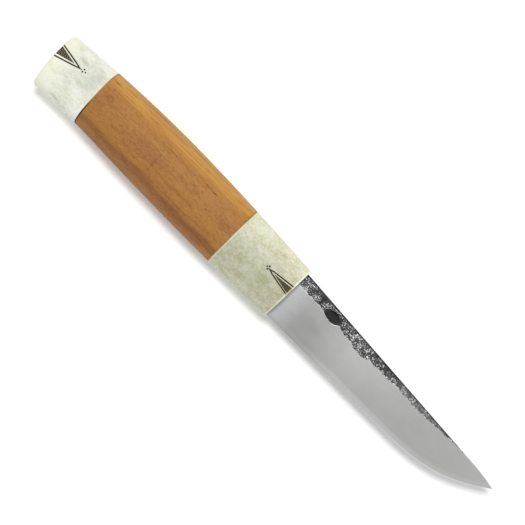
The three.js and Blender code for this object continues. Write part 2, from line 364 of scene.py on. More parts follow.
# %% Antler pieces
CUT_SPACING = 0.08
OPEN_SPACING = 0.55
CUT_MARGIN = 0.3  # how far the crowding reaches past the arrowhead's width
TANG_Y = 0.4
SLOT = (4.3, 1.9)  # half width and half thickness of the ferrule's slot
SLOT_WEDGE, TANG_WEDGE = 0.54, 0.45  # a hidden tang is thicker towards the spine, and its slot follows
BORE = 3.9  # the radius of the pommel's blind bore
SQUARISH, ROUND = 7, 2  # section powers of holes
ARROW_PLACE = 5.0  # the section this far in from an end is the one the crowding is measured on
FERRULE_DOTS, POMMEL_DOTS = 1.8, 2.6  # how far the drilled dots reach past the arrowhead's point
FACE_STEPS = 8


def crowded(start, end, dense_start, dense_end):
    """Values from start to end that are close together between the two dense limits."""
    values = [start]
    while values[-1] < end - 1e-9:
        here = values[-1]
        fine = dense_start <= here < dense_end
        stop = end if here >= dense_end else dense_end if fine else dense_start
        values.append(min(here + (CUT_SPACING if fine else OPEN_SPACING), stop if stop > here else end))
    return np.array(values)


def crowded_angles(arrow, place):
    """Angles round the section that crowd together where the arrowhead lies, on both broad sides."""
    half, middle, _ = section(place)
    reach = arrow.width / 2 + CUT_MARGIN
    # The arc is measured in millimetres along a circle of the section's mean size.
    radius = float(half)
    limits = (arrow.foot_y + reach, arrow.foot_y - reach)
    near, far = (radius * math.acos(np.clip((y - middle) / half, -1, 1)) for y in limits)
    arc = crowded(0.0, radius * math.pi, near, far)[:-1] / radius
    return np.concatenate([arc, 2 * math.pi - np.append(math.pi, arc[:0:-1])])


def end_rounding(end, radius, inwards, steps=5):
    """Rings from a piece's end face onto its side: place and inset."""
    turns = np.linspace(0, math.pi / 2, steps)
    return [(end + inwards * radius * (1 - math.cos(t)), radius * (1 - math.sin(t))) for t in turns]


def cut_into(points, through, arrow):
    """Pushes a skin's points in wherever the arrowhead is cut, on both broad sides."""
    gap = arrow.distance(points[..., 0], points[..., 1])
    share = np.clip(0.5 - gap / WALL, 0, 1)
    share = share * share * (3 - 2 * share) * (abs(through) > 0.5)
    points[..., 2] -= np.sign(through) * ENGRAVING_DEPTH * share
    return points


def antler_skin(places, angles, arrow):
    """The outside rings of an antler piece, with the arrowhead cut in."""
    across, through = rounded(angles, SECTION_POWER)
    x = np.array([p for p, _ in places])[:, None]
    inset = np.array([i for _, i in places])[:, None]
    points = handle_point(x, across[None, :], through[None, :], inset)
    return cut_into(points, np.broadcast_to(through, points.shape[:-1]), arrow)


def towards(start_ring, end_ring, steps):
    """Rings that lead from one ring to another, without either of them."""
    shares = np.linspace(0, 1, steps + 1)[1:-1]
    return [start_ring + (end_ring - start_ring) * share for share in shares]


def hole_ring(angles, x, half_width, half_thickness, power, wedge=1.0):
    """A hole's outline at x. wedge is its edge side's share of its spine side's thickness."""
    across, through = rounded(angles, power)
    narrowing = 1 + (wedge - 1) * (1 - across) / 2
    y, z = TANG_Y + across * half_width, through * half_thickness * narrowing
    return np.stack([x + y * lean(x), y, z], -1)


def make_ferrule():
    angles = crowded_angles(ferrule_arrow, -ARROW_PLACE)
    reach = ferrule_arrow.length + FERRULE_DOTS
    plain = crowded(-FERRULE_LENGTH, -FACE_ROUNDING, -reach, -FACE_ROUNDING)
    places = [(x, 0.0) for x in plain[:-1]] + end_rounding(0.0, FACE_ROUNDING, -1)[::-1]
    outside = antler_skin(places, angles, ferrule_arrow)
    slot = [hole_ring(angles, x, *SLOT, SQUARISH, SLOT_WEDGE) for x in (0.0, -9.0, -18.0, -FERRULE_LENGTH)]
    face = towards(outside[-1], slot[0], FACE_STEPS)
    back = towards(slot[-1], outside[0], FACE_STEPS)
    return skin("antler_ferrule", np.stack([*outside, *face, *slot, *back]), looped=True)


def make_pommel():
    angles = crowded_angles(pommel_arrow, butt + ARROW_PLACE)
    reach = pommel_arrow.length + POMMEL_DOTS
    plain = crowded(butt + BUTT_ROUNDING, pommel_front, butt + BUTT_ROUNDING, butt + reach)
    places = end_rounding(butt, BUTT_ROUNDING, 1) + [(x, 0.0) for x in plain[1:]]
    outside = antler_skin(places, angles, pommel_arrow)
    centre = outside[0].mean(0)
    shares = (0.03, 0.12, 0.25, 0.4, 0.55, 0.7, 0.82, 0.92)
    disc = [centre + (outside[0] - centre) * share for share in shares]
    bore = [hole_ring(angles, pommel_front - depth, BORE, BORE, ROUND) for depth in (0, 7, 14)]
    front = towards(outside[-1], bore[0], 6)
    return skin("antler_pommel", np.stack([*disc, *outside, *front, *bore]))


ferrule = make_ferrule()
pommel = make_pommel()

# %% [markdown]
# ## The pigment in the cuts
#
# The fillings could be a dark colour painted in the cuts, but they are real paint, so each is its own thin body that
# sits just below the polished surface. Each filling is again a stack of rings, small ones this time: every ring goes
# over the filling's top and back along its underside.

# %% Pigment fillings
FILL_BELOW = 0.045  # how far the paint sits under the polished surface
FILL_FLOOR = 0.21  # and how far under it the paint ends
FILL_SAG = 0.03  # paint shrinks most in the middle as it dries
END_GAP = 0.12  # the paint stops this far short of the piece's end
THIN_LINE = 0.9  # a line narrower than this stays full of paint when the surface is wiped


def filling(name, arrow, side, first_edge, second_edge, across_count):
    """A filling between two edges, which are matching lists of points measured like the arrowhead."""
    rings, wiped = [], []
    for a, b in zip(first_edge, second_edge):
        shares = np.linspace(0, 1, across_count)[:, None]
        line = np.array(a) + (np.array(b) - np.array(a)) * shares
        x, y = arrow.knife_x(line[:, 0]), line[:, 1]
        sag = FILL_SAG * np.sin(math.pi * shares[:, 0])
        height = surface_height(x, y)
        top = np.stack([x, y, side * (height - FILL_BELOW - sag)], -1)
        floor = np.stack([x, y, side * (height - FILL_FLOOR)], -1)
        rings.append(np.vstack([top, floor[::-1]]))
        wide = min(1.0, np.linalg.norm(np.array(b) - np.array(a)) / THIN_LINE)
        wiped.append(np.tile(wide * np.sin(math.pi * shares[:, 0]) ** 0.5, 2))
    return skin(name, np.stack(rings), values={"wiped": np.stack(wiped)})


def between(start, end, count):
    return [start + (end - start) * share for share in np.linspace(0, 1, count)]


def make_chevron(name, arrow, side):
    axis = np.array([1.0, 0.0])
    outer, inner = [], []
    for (foot, knee, apex), turn in zip(arrow.arms(), (-1, 1)):
        arm = (knee - foot) / np.linalg.norm(knee - foot)
        tip = (apex - knee) / np.linalg.norm(apex - knee)
        outwards = np.array([-arm[1], arm[0]]) * turn * arrow.line / 2
        start = foot + arm * END_GAP
        outer_apex = apex + axis * arrow.line
        inner_apex = apex - axis * arrow.line * 0.5 / abs(tip[1])
        outer_arm = between(start + outwards, knee + outwards, 20) + between(knee + outwards, outer_apex, 6)[1:]
        inner_arm = between(start - outwards, knee - outwards, 20) + between(knee - outwards, inner_apex, 6)[1:]
        outer += outer_arm if turn < 0 else outer_arm[::-1][1:]
        inner += inner_arm if turn < 0 else inner_arm[::-1][1:]
    return filling(name, arrow, side, outer, inner, 5)


def make_core(name, arrow, side):
    low, apex, high = arrow.core_corners()
    inward, blunt = np.array([END_GAP, 0.0]), np.array([0.0, 0.02])
    low_edge, high_edge = between(low + inward, apex, 30), between(high + inward, apex + blunt, 30)
    return filling(name, arrow, side, low_edge, high_edge, 9)


ARROWS = {"ferrule": ferrule_arrow, "pommel": pommel_arrow}
SIDES = {"right": 1, "left": -1}
fillings = {}
for piece_name, arrow in ARROWS.items():
    for side_name, side in SIDES.items():
        for part_name, make in (("chevron", make_chevron), ("core", make_core)):
            node_name = f"{piece_name}_{part_name}_{side_name}"
            fillings[node_name] = make(f"{node_name}_fill", arrow, side)

# %% [markdown]
# ## Helpers for node trees
#
# Geometry Nodes and shaders are both built with nodes. A few small helpers keep the recipes readable. The main one
# adds a node and fills in its sockets, with a plain value or with a link. The last one runs a finished geometry
# recipe on a starting mesh and keeps the result as a plain mesh.

# %% Adding nodes
def add(tree, kind, inputs=None, **settings):
    """Adds a node, sets its properties, and fills its sockets by name or by number."""
    made = tree.nodes.new(kind)
    for key, value in settings.items():
        setattr(made, key, value)
    for socket, value in (inputs or {}).items():
        target = made.inputs[socket]
        if isinstance(value, bpy.types.NodeSocket):
            tree.links.new(value, target)
        else:
            target.default_value = value
    return made


def calc(tree, operation, *values):
    """A Math node on up to three values, for a shader or a geometry tree."""
    return add(tree, "ShaderNodeMath", dict(enumerate(values)), operation=operation).outputs[0]


def vector_calc(tree, operation, *values):
    made = add(tree, "ShaderNodeVectorMath", dict(enumerate(values)), operation=operation)
    return made.outputs["Value" if operation == "LENGTH" else "Vector"]


def scaled(tree, vector, factor):
    return add(tree, "ShaderNodeVectorMath", {0: vector, "Scale": factor}, operation="SCALE").outputs[0]


SOCKETS = {float: "Float", int: "Int", tuple: "Vector"}
ORIGIN = (0.0, 0.0, 0.0)


def new_tree(name, kind, inputs, outputs):
    """Starts a node group, and gives it with its inputs to read from and its outputs to link to.

    inputs: each label with its default. A default's type gives the socket's, and a word is a type without a default.
    outputs: each label with its socket's type.
    """
    tree = bpy.data.node_groups.new(name, kind)
    for label, default in inputs.items():
        typed = isinstance(default, str)
        socket = "NodeSocket" + (default if typed else SOCKETS[type(default)])
        made = tree.interface.new_socket(label, in_out="INPUT", socket_type=socket)
        if not typed:
            made.default_value = default
    for label, socket in outputs.items():
        tree.interface.new_socket(label, in_out="OUTPUT", socket_type="NodeSocket" + socket)
    return tree, tree.nodes.new("NodeGroupInput").outputs, tree.nodes.new("NodeGroupOutput").inputs


def dressed(tree, geometry, given, result):
    """Ends a geometry recipe: instances become real, and the material goes on."""
    real = add(tree, "GeometryNodeRealizeInstances", {0: geometry}).outputs[0]
    worn = add(tree, "GeometryNodeSetMaterial", {0: real, "Material": given["Material"]}).outputs[0]
    tree.links.new(worn, result[0])
    return tree


def run_recipe(name, base, tree, settings):
    """Runs a geometry recipe on a base object and returns the result as a plain mesh object."""
    modifier = base.modifiers.new("recipe", "NODES")
    modifier.node_group = tree
    identifiers = {item.name: item.identifier for item in tree.interface.items_tree if item.in_out == "INPUT"}
    for label, value in settings.items():
        modifier[identifiers[label]] = value
    graph = bpy.context.evaluated_depsgraph_get()
    mesh = bpy.data.meshes.new_from_object(base.evaluated_get(graph))
    base.modifiers.remove(modifier)
    bpy.data.objects.remove(base)
    mesh.name = name
    finish_mesh(mesh)
    print(f"{name}: {len(mesh.polygons)} faces from the recipe {tree.name}")
    return new_object(name, mesh)


print("node helpers are ready")

# %% [markdown]
# ## Materials come first
#
# A geometry recipe ends by setting its material, so the finishes get their names here. What they look like is
# built further down, when every piece is there to wear them.

# %% Material names
def new_material(name):
    made = bpy.data.materials.new(name)
    made.use_nodes = True
    return made


FINISHES = (
    "forged_steel", "ferrule_antler", "pommel_antler", "oiled_wood", "dark_fibre", "rubbed_pigment", "cast_resin",
)
finish = {name: new_material(name) for name in FINISHES}
print("finishes:", ", ".join(finish))

# %% [markdown]
# ## The grip and its liners: a section swept along a rail
#
# On the real knife the grip and the liners are one continuous shape, because they are carved together after glueing.
# Their shape follows a rule, so a geometry recipe makes all three. Its input is a rail: a row of points along the
# handle, each carrying the outline at its place as named values. The recipe sweeps a circle along the rail, bends
# the circle into the rounded oval, adds the faint unevenness of hand carving, and drills the bore.

# %% The sweep recipe
CARVING = 0.00004  # metres that the knife's cuts leave the surface uneven by


def sweep_recipe():
    tree, given, result = new_tree(
        "carved_sweep",
        "GeometryNodeTree",
        {
            "Rail": "Geometry", "Sides": 144, "Section Power": SECTION_POWER, "Egg": SECTION_EGG,
            "Level": SECTION_LEVEL, "Unevenness": CARVING, "Unevenness Size": 0.012, "Bore Radius": 0.005,
            "Bore Centre": ORIGIN, "Place": ORIGIN, "Seed": 3.0, "Material": "Material",
        },
        {"Body": "Geometry"},
    )

    def named(label):
        return add(tree, "GeometryNodeInputNamedAttribute", {"Name": label}, data_type="FLOAT").outputs[0]

    rail = add(tree, "GeometryNodeMeshToCurve", {0: given["Rail"]}).outputs[0]
    circle = add(tree, "GeometryNodeCurvePrimitiveCircle", {"Resolution": given["Sides"], "Radius": 1.0}).outputs[0]
    tube = add(tree, "GeometryNodeCurveToMesh", {"Curve": rail, "Profile Curve": circle, "Fill Caps": True}).outputs[0]

    # Each point of the tube still stands on the unit circle, so its y and z are the cosine and sine of its angle.
    place = add(tree, "ShaderNodeSeparateXYZ", {0: add(tree, "GeometryNodeInputPosition").outputs[0]}).outputs
    exponent = calc(tree, "DIVIDE", 2.0, given["Section Power"])

    def squared(value):
        size = calc(tree, "POWER", calc(tree, "ABSOLUTE", value), exponent)
        return calc(tree, "MULTIPLY", calc(tree, "SIGN", value), size)

    across, through = squared(place[1]), squared(place[2])
    outside_level = calc(tree, "SUBTRACT", calc(tree, "ABSOLUTE", across), given["Level"])
    beyond = calc(tree, "MULTIPLY", calc(tree, "SIGN", across), calc(tree, "MAXIMUM", outside_level, 0.0))
    y = calc(tree, "MULTIPLY_ADD", across, named("half"), named("middle"))
    fuller = calc(tree, "MULTIPLY_ADD", given["Egg"], beyond, 1.0)
    z = calc(tree, "MULTIPLY", calc(tree, "MULTIPLY", through, named("half_thickness")), fuller)
    x = calc(tree, "MULTIPLY_ADD", y, named("lean"), place[0])
    section = add(tree, "ShaderNodeCombineXYZ", {0: x, 1: y, 2: z}).outputs[0]
    oval = add(tree, "GeometryNodeSetPosition", {"Geometry": tube, "Position": section}).outputs[0]

    shaped_place = add(tree, "GeometryNodeInputPosition").outputs[0]
    scale = calc(tree, "DIVIDE", 1.0, given["Unevenness Size"])
    bumps = add(
        tree,
        "ShaderNodeTexNoise",
        {"Vector": shaped_place, "W": given["Seed"], "Scale": scale, "Detail": 1.0},
        noise_dimensions="4D",
    ).outputs[0]
    lift = calc(tree, "MULTIPLY", calc(tree, "SUBTRACT", bumps, 1.0), given["Unevenness"])
    normal = add(tree, "GeometryNodeInputNormal").outputs[0]
    sideways = vector_calc(tree, "MULTIPLY", normal, (0.0, 1.0, 1.0))
    carved = add(tree, "GeometryNodeSetPosition", {"Geometry": oval, "Offset": scaled(tree, sideways, lift)}).outputs[0]

    drill = add(tree, "GeometryNodeMeshCylinder", {"Vertices": 48, "Radius": given["Bore Radius"], "Depth": 0.4})
    laid = add(
        tree,
        "GeometryNodeTransform",
        {"Geometry": drill.outputs[0], "Translation": given["Bore Centre"], "Rotation": (0.0, math.pi / 2, 0.0)},
    ).outputs[0]
    bored = add(tree, "GeometryNodeMeshBoolean", {0: carved, 1: laid}, operation="DIFFERENCE").outputs[0]
    moved = add(tree, "GeometryNodeTransform", {"Geometry": bored, "Translation": given["Place"]}).outputs[0]
    return dressed(tree, moved, given, result)


carved_sweep = sweep_recipe()


def swept_piece(name, back, front, spacing, bore_radius, material, inset=0.0, unevenness=CARVING):
    """Lays a rail from back to front and sweeps the handle's section along it."""
    places = np.linspace(back, front, max(2, round((front - back) / spacing) + 1))
    rail = bpy.data.meshes.new(name + "_rail")
    points = [(x * MM, 0.0, 0.0) for x in places]
    rail.from_pydata(points, [(i, i + 1) for i in range(len(points) - 1)], [])
    half, middle, thickness = section(places)
    outline = {
        "half": half - inset,
        "middle": middle,
        "half_thickness": thickness / 2 - inset,
        "lean": lean(places) / MM,
    }
    for label, numbers in outline.items():
        layer = rail.attributes.new(label, "FLOAT", "POINT")
        layer.data.foreach_set("value", np.asarray(numbers * MM, np.float32))
    settings = {
        "Bore Radius": bore_radius * MM,
        "Bore Centre": (0.0, TANG_Y * MM, 0.0),
        "Place": tuple(knife_origin),
        "Unevenness": unevenness,
        "Material": material,
    }
    return run_recipe(name, new_object(name + "_rail", rail), carved_sweep, settings)


GLUE = 0.05  # every joint has a line of glue this thick
GRIP_BORE, LINER_BORE = 5.0, 4.5
LINER = {
    "spacing": 0.2,
    "bore_radius": LINER_BORE,
    "material": finish["dark_fibre"],
    "inset": 0.05,  # fibre is softer than wood and antler, so sanding takes it a little lower
    "unevenness": 0.00002,
}
grip = swept_piece("carved_wood_grip", grip_back, grip_front, 0.6, GRIP_BORE, finish["oiled_wood"])
front_liner = swept_piece("fibre_front_liner", grip_front + GLUE, -FERRULE_LENGTH - GLUE, **LINER)
rear_liner = swept_piece("fibre_rear_liner", pommel_front + GLUE, grip_back - GLUE, **LINER)

# %% [markdown]
# ## The blade
#
# The real blade is forged, so the band under its spine keeps the hammered, scaly surface of the fire, and then the
# two broad flats are ground down to the edge. The line between them wavers, because the grinder's true plane meets
# an uneven forging. The mesh is made the same way: at each point the blade is as thick as the thinner of the two
# surfaces. How far the grinder's plane passed above the forging is kept on the points, and tells the finish later
# where scale is left.

# %% The blade's outline and its two surfaces
BLADE_LENGTH = 97.0
BELLY_START = 55.0
EDGE_BEVEL, BEVEL_HALF = 0.6, 0.16  # the sharpened bevel's height and half thickness
BEVEL_SHARE = 0.35  # near the tip the bevel takes at most this share of the blade's height
SPINE_HALF = 2.0
SPINE_FALL = 0.0755  # the spine drops by this much for each millimetre of length
TIP_CURL_START, TIP_CURL = 87.0, 0.75
LEAST_HEIGHT = 0.3
FLAT_TOP_AT_HEEL = 3.6
HEEL_EDGE_Y, BELLY_Y = -11.65, -11.95


def bezier(points, count):
    t = np.linspace(0, 1, count)[:, None]
    p = np.array(points, float)
    return p[0] * (1 - t) ** 3 + 3 * p[1] * t * (1 - t) ** 2 + 3 * p[2] * t**2 * (1 - t) + p[3] * t**3


belly = bezier([(BELLY_START, BELLY_Y), (78, BELLY_Y - 0.35), (86, -7.2), (BLADE_LENGTH, 0)], 400)


def blade_edge(x):
    straight = HEEL_EDGE_Y + (BELLY_Y - HEEL_EDGE_Y) * x / BELLY_START
    return np.where(x < BELLY_START, straight, np.interp(x, belly[:, 0], belly[:, 1]))


def blade_spine(x):
    curled = np.maximum(0, (x - TIP_CURL_START) / (BLADE_LENGTH - TIP_CURL_START))
    return np.maximum(HEEL_SPINE_Y - SPINE_FALL * x - TIP_CURL * curled**2, blade_edge(x) + LEAST_HEIGHT)


flat_slope = (SPINE_HALF - BEVEL_HALF) / (FLAT_TOP_AT_HEEL - HEEL_EDGE_Y - EDGE_BEVEL)


def ground_half(x, y):
    """Half thickness of the ground wedge, with its narrow bevel."""
    height = y - blade_edge(x)
    bevel = np.minimum(EDGE_BEVEL, BEVEL_SHARE * (blade_spine(x) - blade_edge(x)))
    on_bevel = BEVEL_HALF / EDGE_BEVEL * np.minimum(height, bevel)
    return on_bevel + flat_slope * np.maximum(0, height - bevel)


# Where the flat meets the forging on the right side: place, and height over the knife's middle line.
SCALE_LINE = [
    (0, 3.65), (6.7, 3.4), (11, 3.2), (20, 2.8), (23, 2.1), (27.3, 1.9), (29, 0.85), (33, 0.7), (35.4, 1.7),
    (45, 1.7), (47.8, 2.1), (51.3, 1.7), (55.4, 1.5), (62, 1.4), (66.7, 1.5), (72.9, 1.75), (79.4, 1.95), (97, 1.2),
]
LEFT_LINE = {"height": 2.0, "heel_rise": 1.7, "rise_end": 34, "waver": 0.5}  # the same line on the left side
FORGED_TAPER = 0.012  # the forging thickens this much for each millimetre above the line
HAMMER_MARKS = ((0.028, 2.4, 1.7), (0.014, 0.9, 5.1))  # how deep, how wide, and which noise
DENT = {"x": 16.4, "y": 3.5, "half_length": 3.55, "half_width": 2.05, "depth": 0.36, "tilt": 0.05}


def dent_share(x, y):
    """One in the middle of the hammer's dent, falling to zero at its rim."""
    dx, dy = x - DENT["x"], y - DENT["y"]
    along, over = dx - dy * DENT["tilt"], dy + dx * DENT["tilt"]
    r = np.sqrt((along / DENT["half_length"]) ** 2 + (over / DENT["half_width"]) ** 2)
    return np.clip(1 - r**3, 0, 1)


def rough(x, y, size, seed):
    """Smooth noise from minus one to one over a surface, for plain numbers or arrays."""
    at = np.broadcast_arrays(x / size, y / size)
    values = [noise.noise(Vector((a, b, seed))) for a, b in zip(at[0].ravel(), at[1].ravel())]
    return np.array(values).reshape(at[0].shape) * 1.6


def forged_half(x, y, side):
    """Half thickness of the forging under the spine. The left side's lower line is its own, and it has no dent."""
    if side > 0:
        meeting = np.interp(x, *np.array(SCALE_LINE).T)
    else:
        rise = LEFT_LINE["heel_rise"] * np.maximum(0, 1 - x / LEFT_LINE["rise_end"]) ** 2
        meeting = LEFT_LINE["height"] + rise + LEFT_LINE["waver"] * rough(x, 0 * x, 9.0, 4.2)
    half = ground_half(x, meeting) + FORGED_TAPER * (y - meeting)
    for depth, size, seed in HAMMER_MARKS:
        half = half + depth * rough(x, y, size, seed * side)
    if side > 0:
        half = half - DENT["depth"] * dent_share(x, y)
    return np.minimum(half, SPINE_HALF)


# %% The blade's mesh
FLAT_LEVELS, BAND_LEVELS = 9, 26
SPINE_CORNER, CORNER_DEPTH = 0.35, 0.14  # how far down the spine's corners are rounded, and how deep
BAND_START = 0.2  # the fine rows of the forged band start at this height
SPACING, TIP_START, TIP_SECTIONS = 0.28, 90, 40
TANG_STEPS, SHOULDER_STEPS = 24, 5
TANG_IN_POMMEL = 12
TANG_TIP, TANG_GROWTH = (2.5, 1.3), (1.5, 0.3)  # half width and half thickness, and what they gain by the shoulder
UNGROUND = 0.1  # the tang is never ground, so its scale is whole


def blade_levels(x):
    """The heights of one section's points, from the edge to the spine, close together in the forged band."""
    low, high = float(blade_edge(np.array(x))), float(blade_spine(np.array(x)))
    bevel = min(EDGE_BEVEL, BEVEL_SHARE * (high - low))
    # Near the tip the band narrows with the blade.
    band_start = max(low + bevel + 0.3 * (high - low - bevel), min(BAND_START, high - 0.2 * (high - low)))
    flat = np.linspace(low + bevel, band_start, FLAT_LEVELS + 1)[1:]
    return np.concatenate([[low, low + bevel], flat, np.linspace(band_start, high, BAND_LEVELS + 1)[1:]])


def blade_rings(places):
    """Every section's points: up the right side from the edge, over the spine and down the left side."""
    levels = np.stack([blade_levels(x) for x in places])
    x = np.broadcast_to(places[:, None], levels.shape)
    sides = []
    for side in (1, -1):
        ground, forged = ground_half(x, levels), forged_half(x, levels, side)
        half = np.minimum(ground, forged)
        to_spine = np.clip((blade_spine(x) - levels) / SPINE_CORNER, 0, 1)
        half = half - CORNER_DEPTH * (1 - to_spine) ** 2 * (half > 0.3)
        leaning = x + GLUE + levels * math.tan(face_rake) * np.maximum(0, 1 - x / 15)
        dent = dent_share(x, levels) * (side > 0)
        from_spine, from_edge = blade_spine(x) - levels, levels - blade_edge(x)
        sides.append((np.stack([leaning, levels, side * half], -1), ground - forged, dent, from_spine, from_edge))
    rings, *numbers = (np.concatenate([up, down[:, :0:-1]], 1) for up, down in zip(*sides))
    return rings, dict(zip(("scale_depth", "dent", "to_spine", "to_edge"), numbers))


def make_blade():
    places = np.concatenate([np.arange(0, TIP_START, SPACING), np.linspace(TIP_START, BLADE_LENGTH, TIP_SECTIONS)])
    rings, values = blade_rings(places)
    around = rings.shape[1]
    tang_end = pommel_front - TANG_IN_POMMEL
    turns = np.linspace(math.pi, -math.pi, around, endpoint=False)
    tang = []
    for x in np.linspace(tang_end, GLUE, TANG_STEPS):
        share = (x - tang_end) / -tang_end
        half_width, half_thickness = (tip + growth * share for tip, growth in zip(TANG_TIP, TANG_GROWTH))
        tang.append(hole_ring(turns, x, half_width, half_thickness, SQUARISH, TANG_WEDGE))
    rings = np.concatenate([np.stack([*tang, *towards(tang[-1], rings[0], SHOULDER_STEPS)]), rings])
    unground = np.full((len(rings) - len(places), around), UNGROUND)
    values = {key: np.concatenate([unground, numbers]) for key, numbers in values.items()}
    return skin("forged_blade", rings, values=values)


STEEL_SHARP = math.radians(13)  # the ground edges of steel are crisper than carved ones
blade = make_blade()
finish_mesh(blade.data, STEEL_SHARP)

# %% [markdown]
# ## Dots and hatching
#
# At the point of each arrowhead the engraver drilled four small dots, and left fine crossed lands of bare antler in
# the core. Both repeat over a curved surface, which is the work of Geometry Nodes: one recipe sets a drilled dot at
# each given point and turns it to the surface, and the other drops a tilted grid of lozenges onto the core.

# %% Drilled dots
def dots_recipe():
    tree, given, result = new_tree(
        "drilled_dots",
        "GeometryNodeTree",
        {
            "Places": "Geometry", "Radius": 0.0002, "Depth": 0.00016, "Size Spread": 0.15, "Seed": 7,
            "Material": "Material",
        },
        {"Dots": "Geometry"},
    )
    bottom = calc(tree, "MULTIPLY", given["Radius"], 0.5)
    sizes = {"Vertices": 12, "Radius Top": given["Radius"], "Radius Bottom": bottom, "Depth": given["Depth"]}
    dot = add(tree, "GeometryNodeMeshCone", sizes).outputs["Mesh"]
    outwards = add(tree, "GeometryNodeInputNamedAttribute", {"Name": "outwards"}, data_type="FLOAT_VECTOR").outputs[0]
    turned = add(tree, "FunctionNodeAlignRotationToVector", {"Vector": outwards}, axis="Z").outputs[0]
    smallest = calc(tree, "SUBTRACT", 1.0, given["Size Spread"])
    size = add(tree, "FunctionNodeRandomValue", {2: smallest, 8: given["Seed"]}, data_type="FLOAT")
    placed = add(
        tree,
        "GeometryNodeInstanceOnPoints",
        {"Points": given["Places"], "Instance": dot, "Rotation": turned, "Scale": size.outputs[1]},
    ).outputs[0]
    return dressed(tree, placed, given, result)


drilled_dots = dots_recipe()


def outward_slope(x, y, side):
    """The direction straight out of the handle's surface."""
    step = 0.05
    along = (surface_height(x + step, y) - surface_height(x - step, y)) / (2 * step)
    over = (surface_height(x, y + step) - surface_height(x, y - step)) / (2 * step)
    return Vector((-float(along), -float(over), side)).normalized()


DOT_SINK = 0.08  # how far a dot's middle lies under the paint
DOT_GAP = 0.02  # how much smaller a dot is than its hole


def make_dots(name, arrow, side):
    places = [*arrow.dot_places(), np.array([arrow.length, arrow.apex_y])]
    points, directions = [], []
    for along, y in places:
        x = arrow.knife_x(along)
        outwards = outward_slope(x, y, side)
        foot = np.array([x, y, side * float(surface_height(x, y))])
        points.append(to_frame(foot - np.array(outwards) * (FILL_BELOW + DOT_SINK)))
        directions.extend(outwards)
    mesh = bpy.data.meshes.new(name + "_places")
    mesh.from_pydata([tuple(point) for point in points], [], [])
    mesh.attributes.new("outwards", "FLOAT_VECTOR", "POINT").data.foreach_set("vector", directions)
    settings = {"Radius": (arrow.dot_radius - DOT_GAP) * MM, "Material": finish["rubbed_pigment"]}
    return run_recipe(name, new_object(name + "_places", mesh), drilled_dots, settings)


# %% Hatching
def hatch_recipe():
    tree, given, result = new_tree(
        "hatched_core",
        "GeometryNodeTree",
        {
            "Core": "Geometry", "Centre": ORIGIN, "Reach": 0.012, "Rows": 24, "Land": 0.00022,
            "Land Height": 0.00005, "Downwards": (0.0, 0.0, -1.0), "Slant": 0.7, "Material": "Material",
        },
        {"Lands": "Geometry"},
    )
    lozenge = (1.5, 0.8, 1.0)  # the squares of the grid are drawn out along the knife
    reach, rows = given["Reach"], given["Rows"]
    sizes = {"Size X": reach, "Size Y": reach, "Vertices X": rows, "Vertices Y": rows}
    grid = add(tree, "GeometryNodeMeshGrid", sizes).outputs[0]
    slant = add(tree, "ShaderNodeCombineXYZ", {2: given["Slant"]}).outputs[0]
    turned = add(tree, "GeometryNodeTransform", {"Geometry": grid, "Rotation": slant}).outputs[0]
    slim = {"Geometry": turned, "Scale": lozenge, "Translation": given["Centre"]}
    laid = add(tree, "GeometryNodeTransform", slim).outputs[0]
    drop = {"Target Geometry": given["Core"], "Ray Direction": given["Downwards"], "Ray Length": 0.1}
    hit = add(tree, "GeometryNodeRaycast", drop).outputs
    points = add(tree, "GeometryNodeMeshToPoints", {"Mesh": laid, "Selection": hit["Is Hit"]}).outputs[0]
    on_core = add(tree, "GeometryNodeSetPosition", {"Geometry": points, "Position": hit["Hit Position"]}).outputs[0]
    half = calc(tree, "MULTIPLY", given["Land"], 0.5)
    top = calc(tree, "MULTIPLY", given["Land"], 0.3)
    cone = {"Vertices": 4, "Radius Top": top, "Radius Bottom": half, "Depth": given["Land Height"]}
    land = add(tree, "GeometryNodeMeshCone", cone).outputs["Mesh"]
    upwards = vector_calc(tree, "MULTIPLY", given["Downwards"], (-1.0, -1.0, -1.0))
    turn = add(tree, "FunctionNodeAlignRotationToVector", {"Vector": upwards}, axis="Z").outputs[0]
    placed = add(
        tree,
        "GeometryNodeInstanceOnPoints",
        {"Points": on_core, "Instance": land, "Rotation": turn, "Scale": lozenge},
    ).outputs[0]
    return dressed(tree, placed, given, result)


hatched_core = hatch_recipe()


def make_hatching(name, core, arrow, side, material):
    middle = to_frame([arrow.knife_x(arrow.core_length / 2), arrow.core_y, side * 30])
    settings = {"Centre": tuple(middle), "Downwards": (0.0, 0.0, -float(side)), "Material": material}
    return run_recipe(name, new_object(name + "_base", core.data.copy()), hatched_core, settings)


dots, hatching = {}, {}
for piece_name, arrow in ARROWS.items():
    for side_name, side in SIDES.items():
        end = f"{piece_name}_{side_name}"
        dots[end] = make_dots(end + "_dots", arrow, side)
        core = fillings[f"{piece_name}_core_{side_name}"]
        hatching[end] = make_hatching(end + "_hatching", core, arrow, side, finish[piece_name + "_antler"])

# %% [markdown]
# # Finishes
#
# Every finish is grown from the same few effects: grain that runs along the knife, soft clouds, a spot in a known
# place, and scattered flecks. Each effect is one node group, so that a change to it reaches every finish that uses
# it. All of them work in knife space, which the first group makes from the object's own coordinates.

# %% Shader helpers
def swatch(red, green, blue):
    """A colour given on the usual 0 to 255 scale, turned into linear light."""
    parts = [value / 255 for value in (red, green, blue)]
    return tuple(part / 12.92 if part <= 0.04045 else ((part + 0.055) / 1.055) ** 2.4 for part in parts) + (1.0,)


def use(tree, group, **inputs):
    """Places a node group. Its inputs are named with underscores instead of spaces."""
    made = tree.nodes.new("ShaderNodeGroup")
    made.node_tree = group
    for key, value in inputs.items():
        target = made.inputs[key.replace("_", " ").title()]
        if isinstance(value, bpy.types.NodeSocket):
            tree.links.new(value, target)
        else:
            target.default_value = value
    return made.outputs


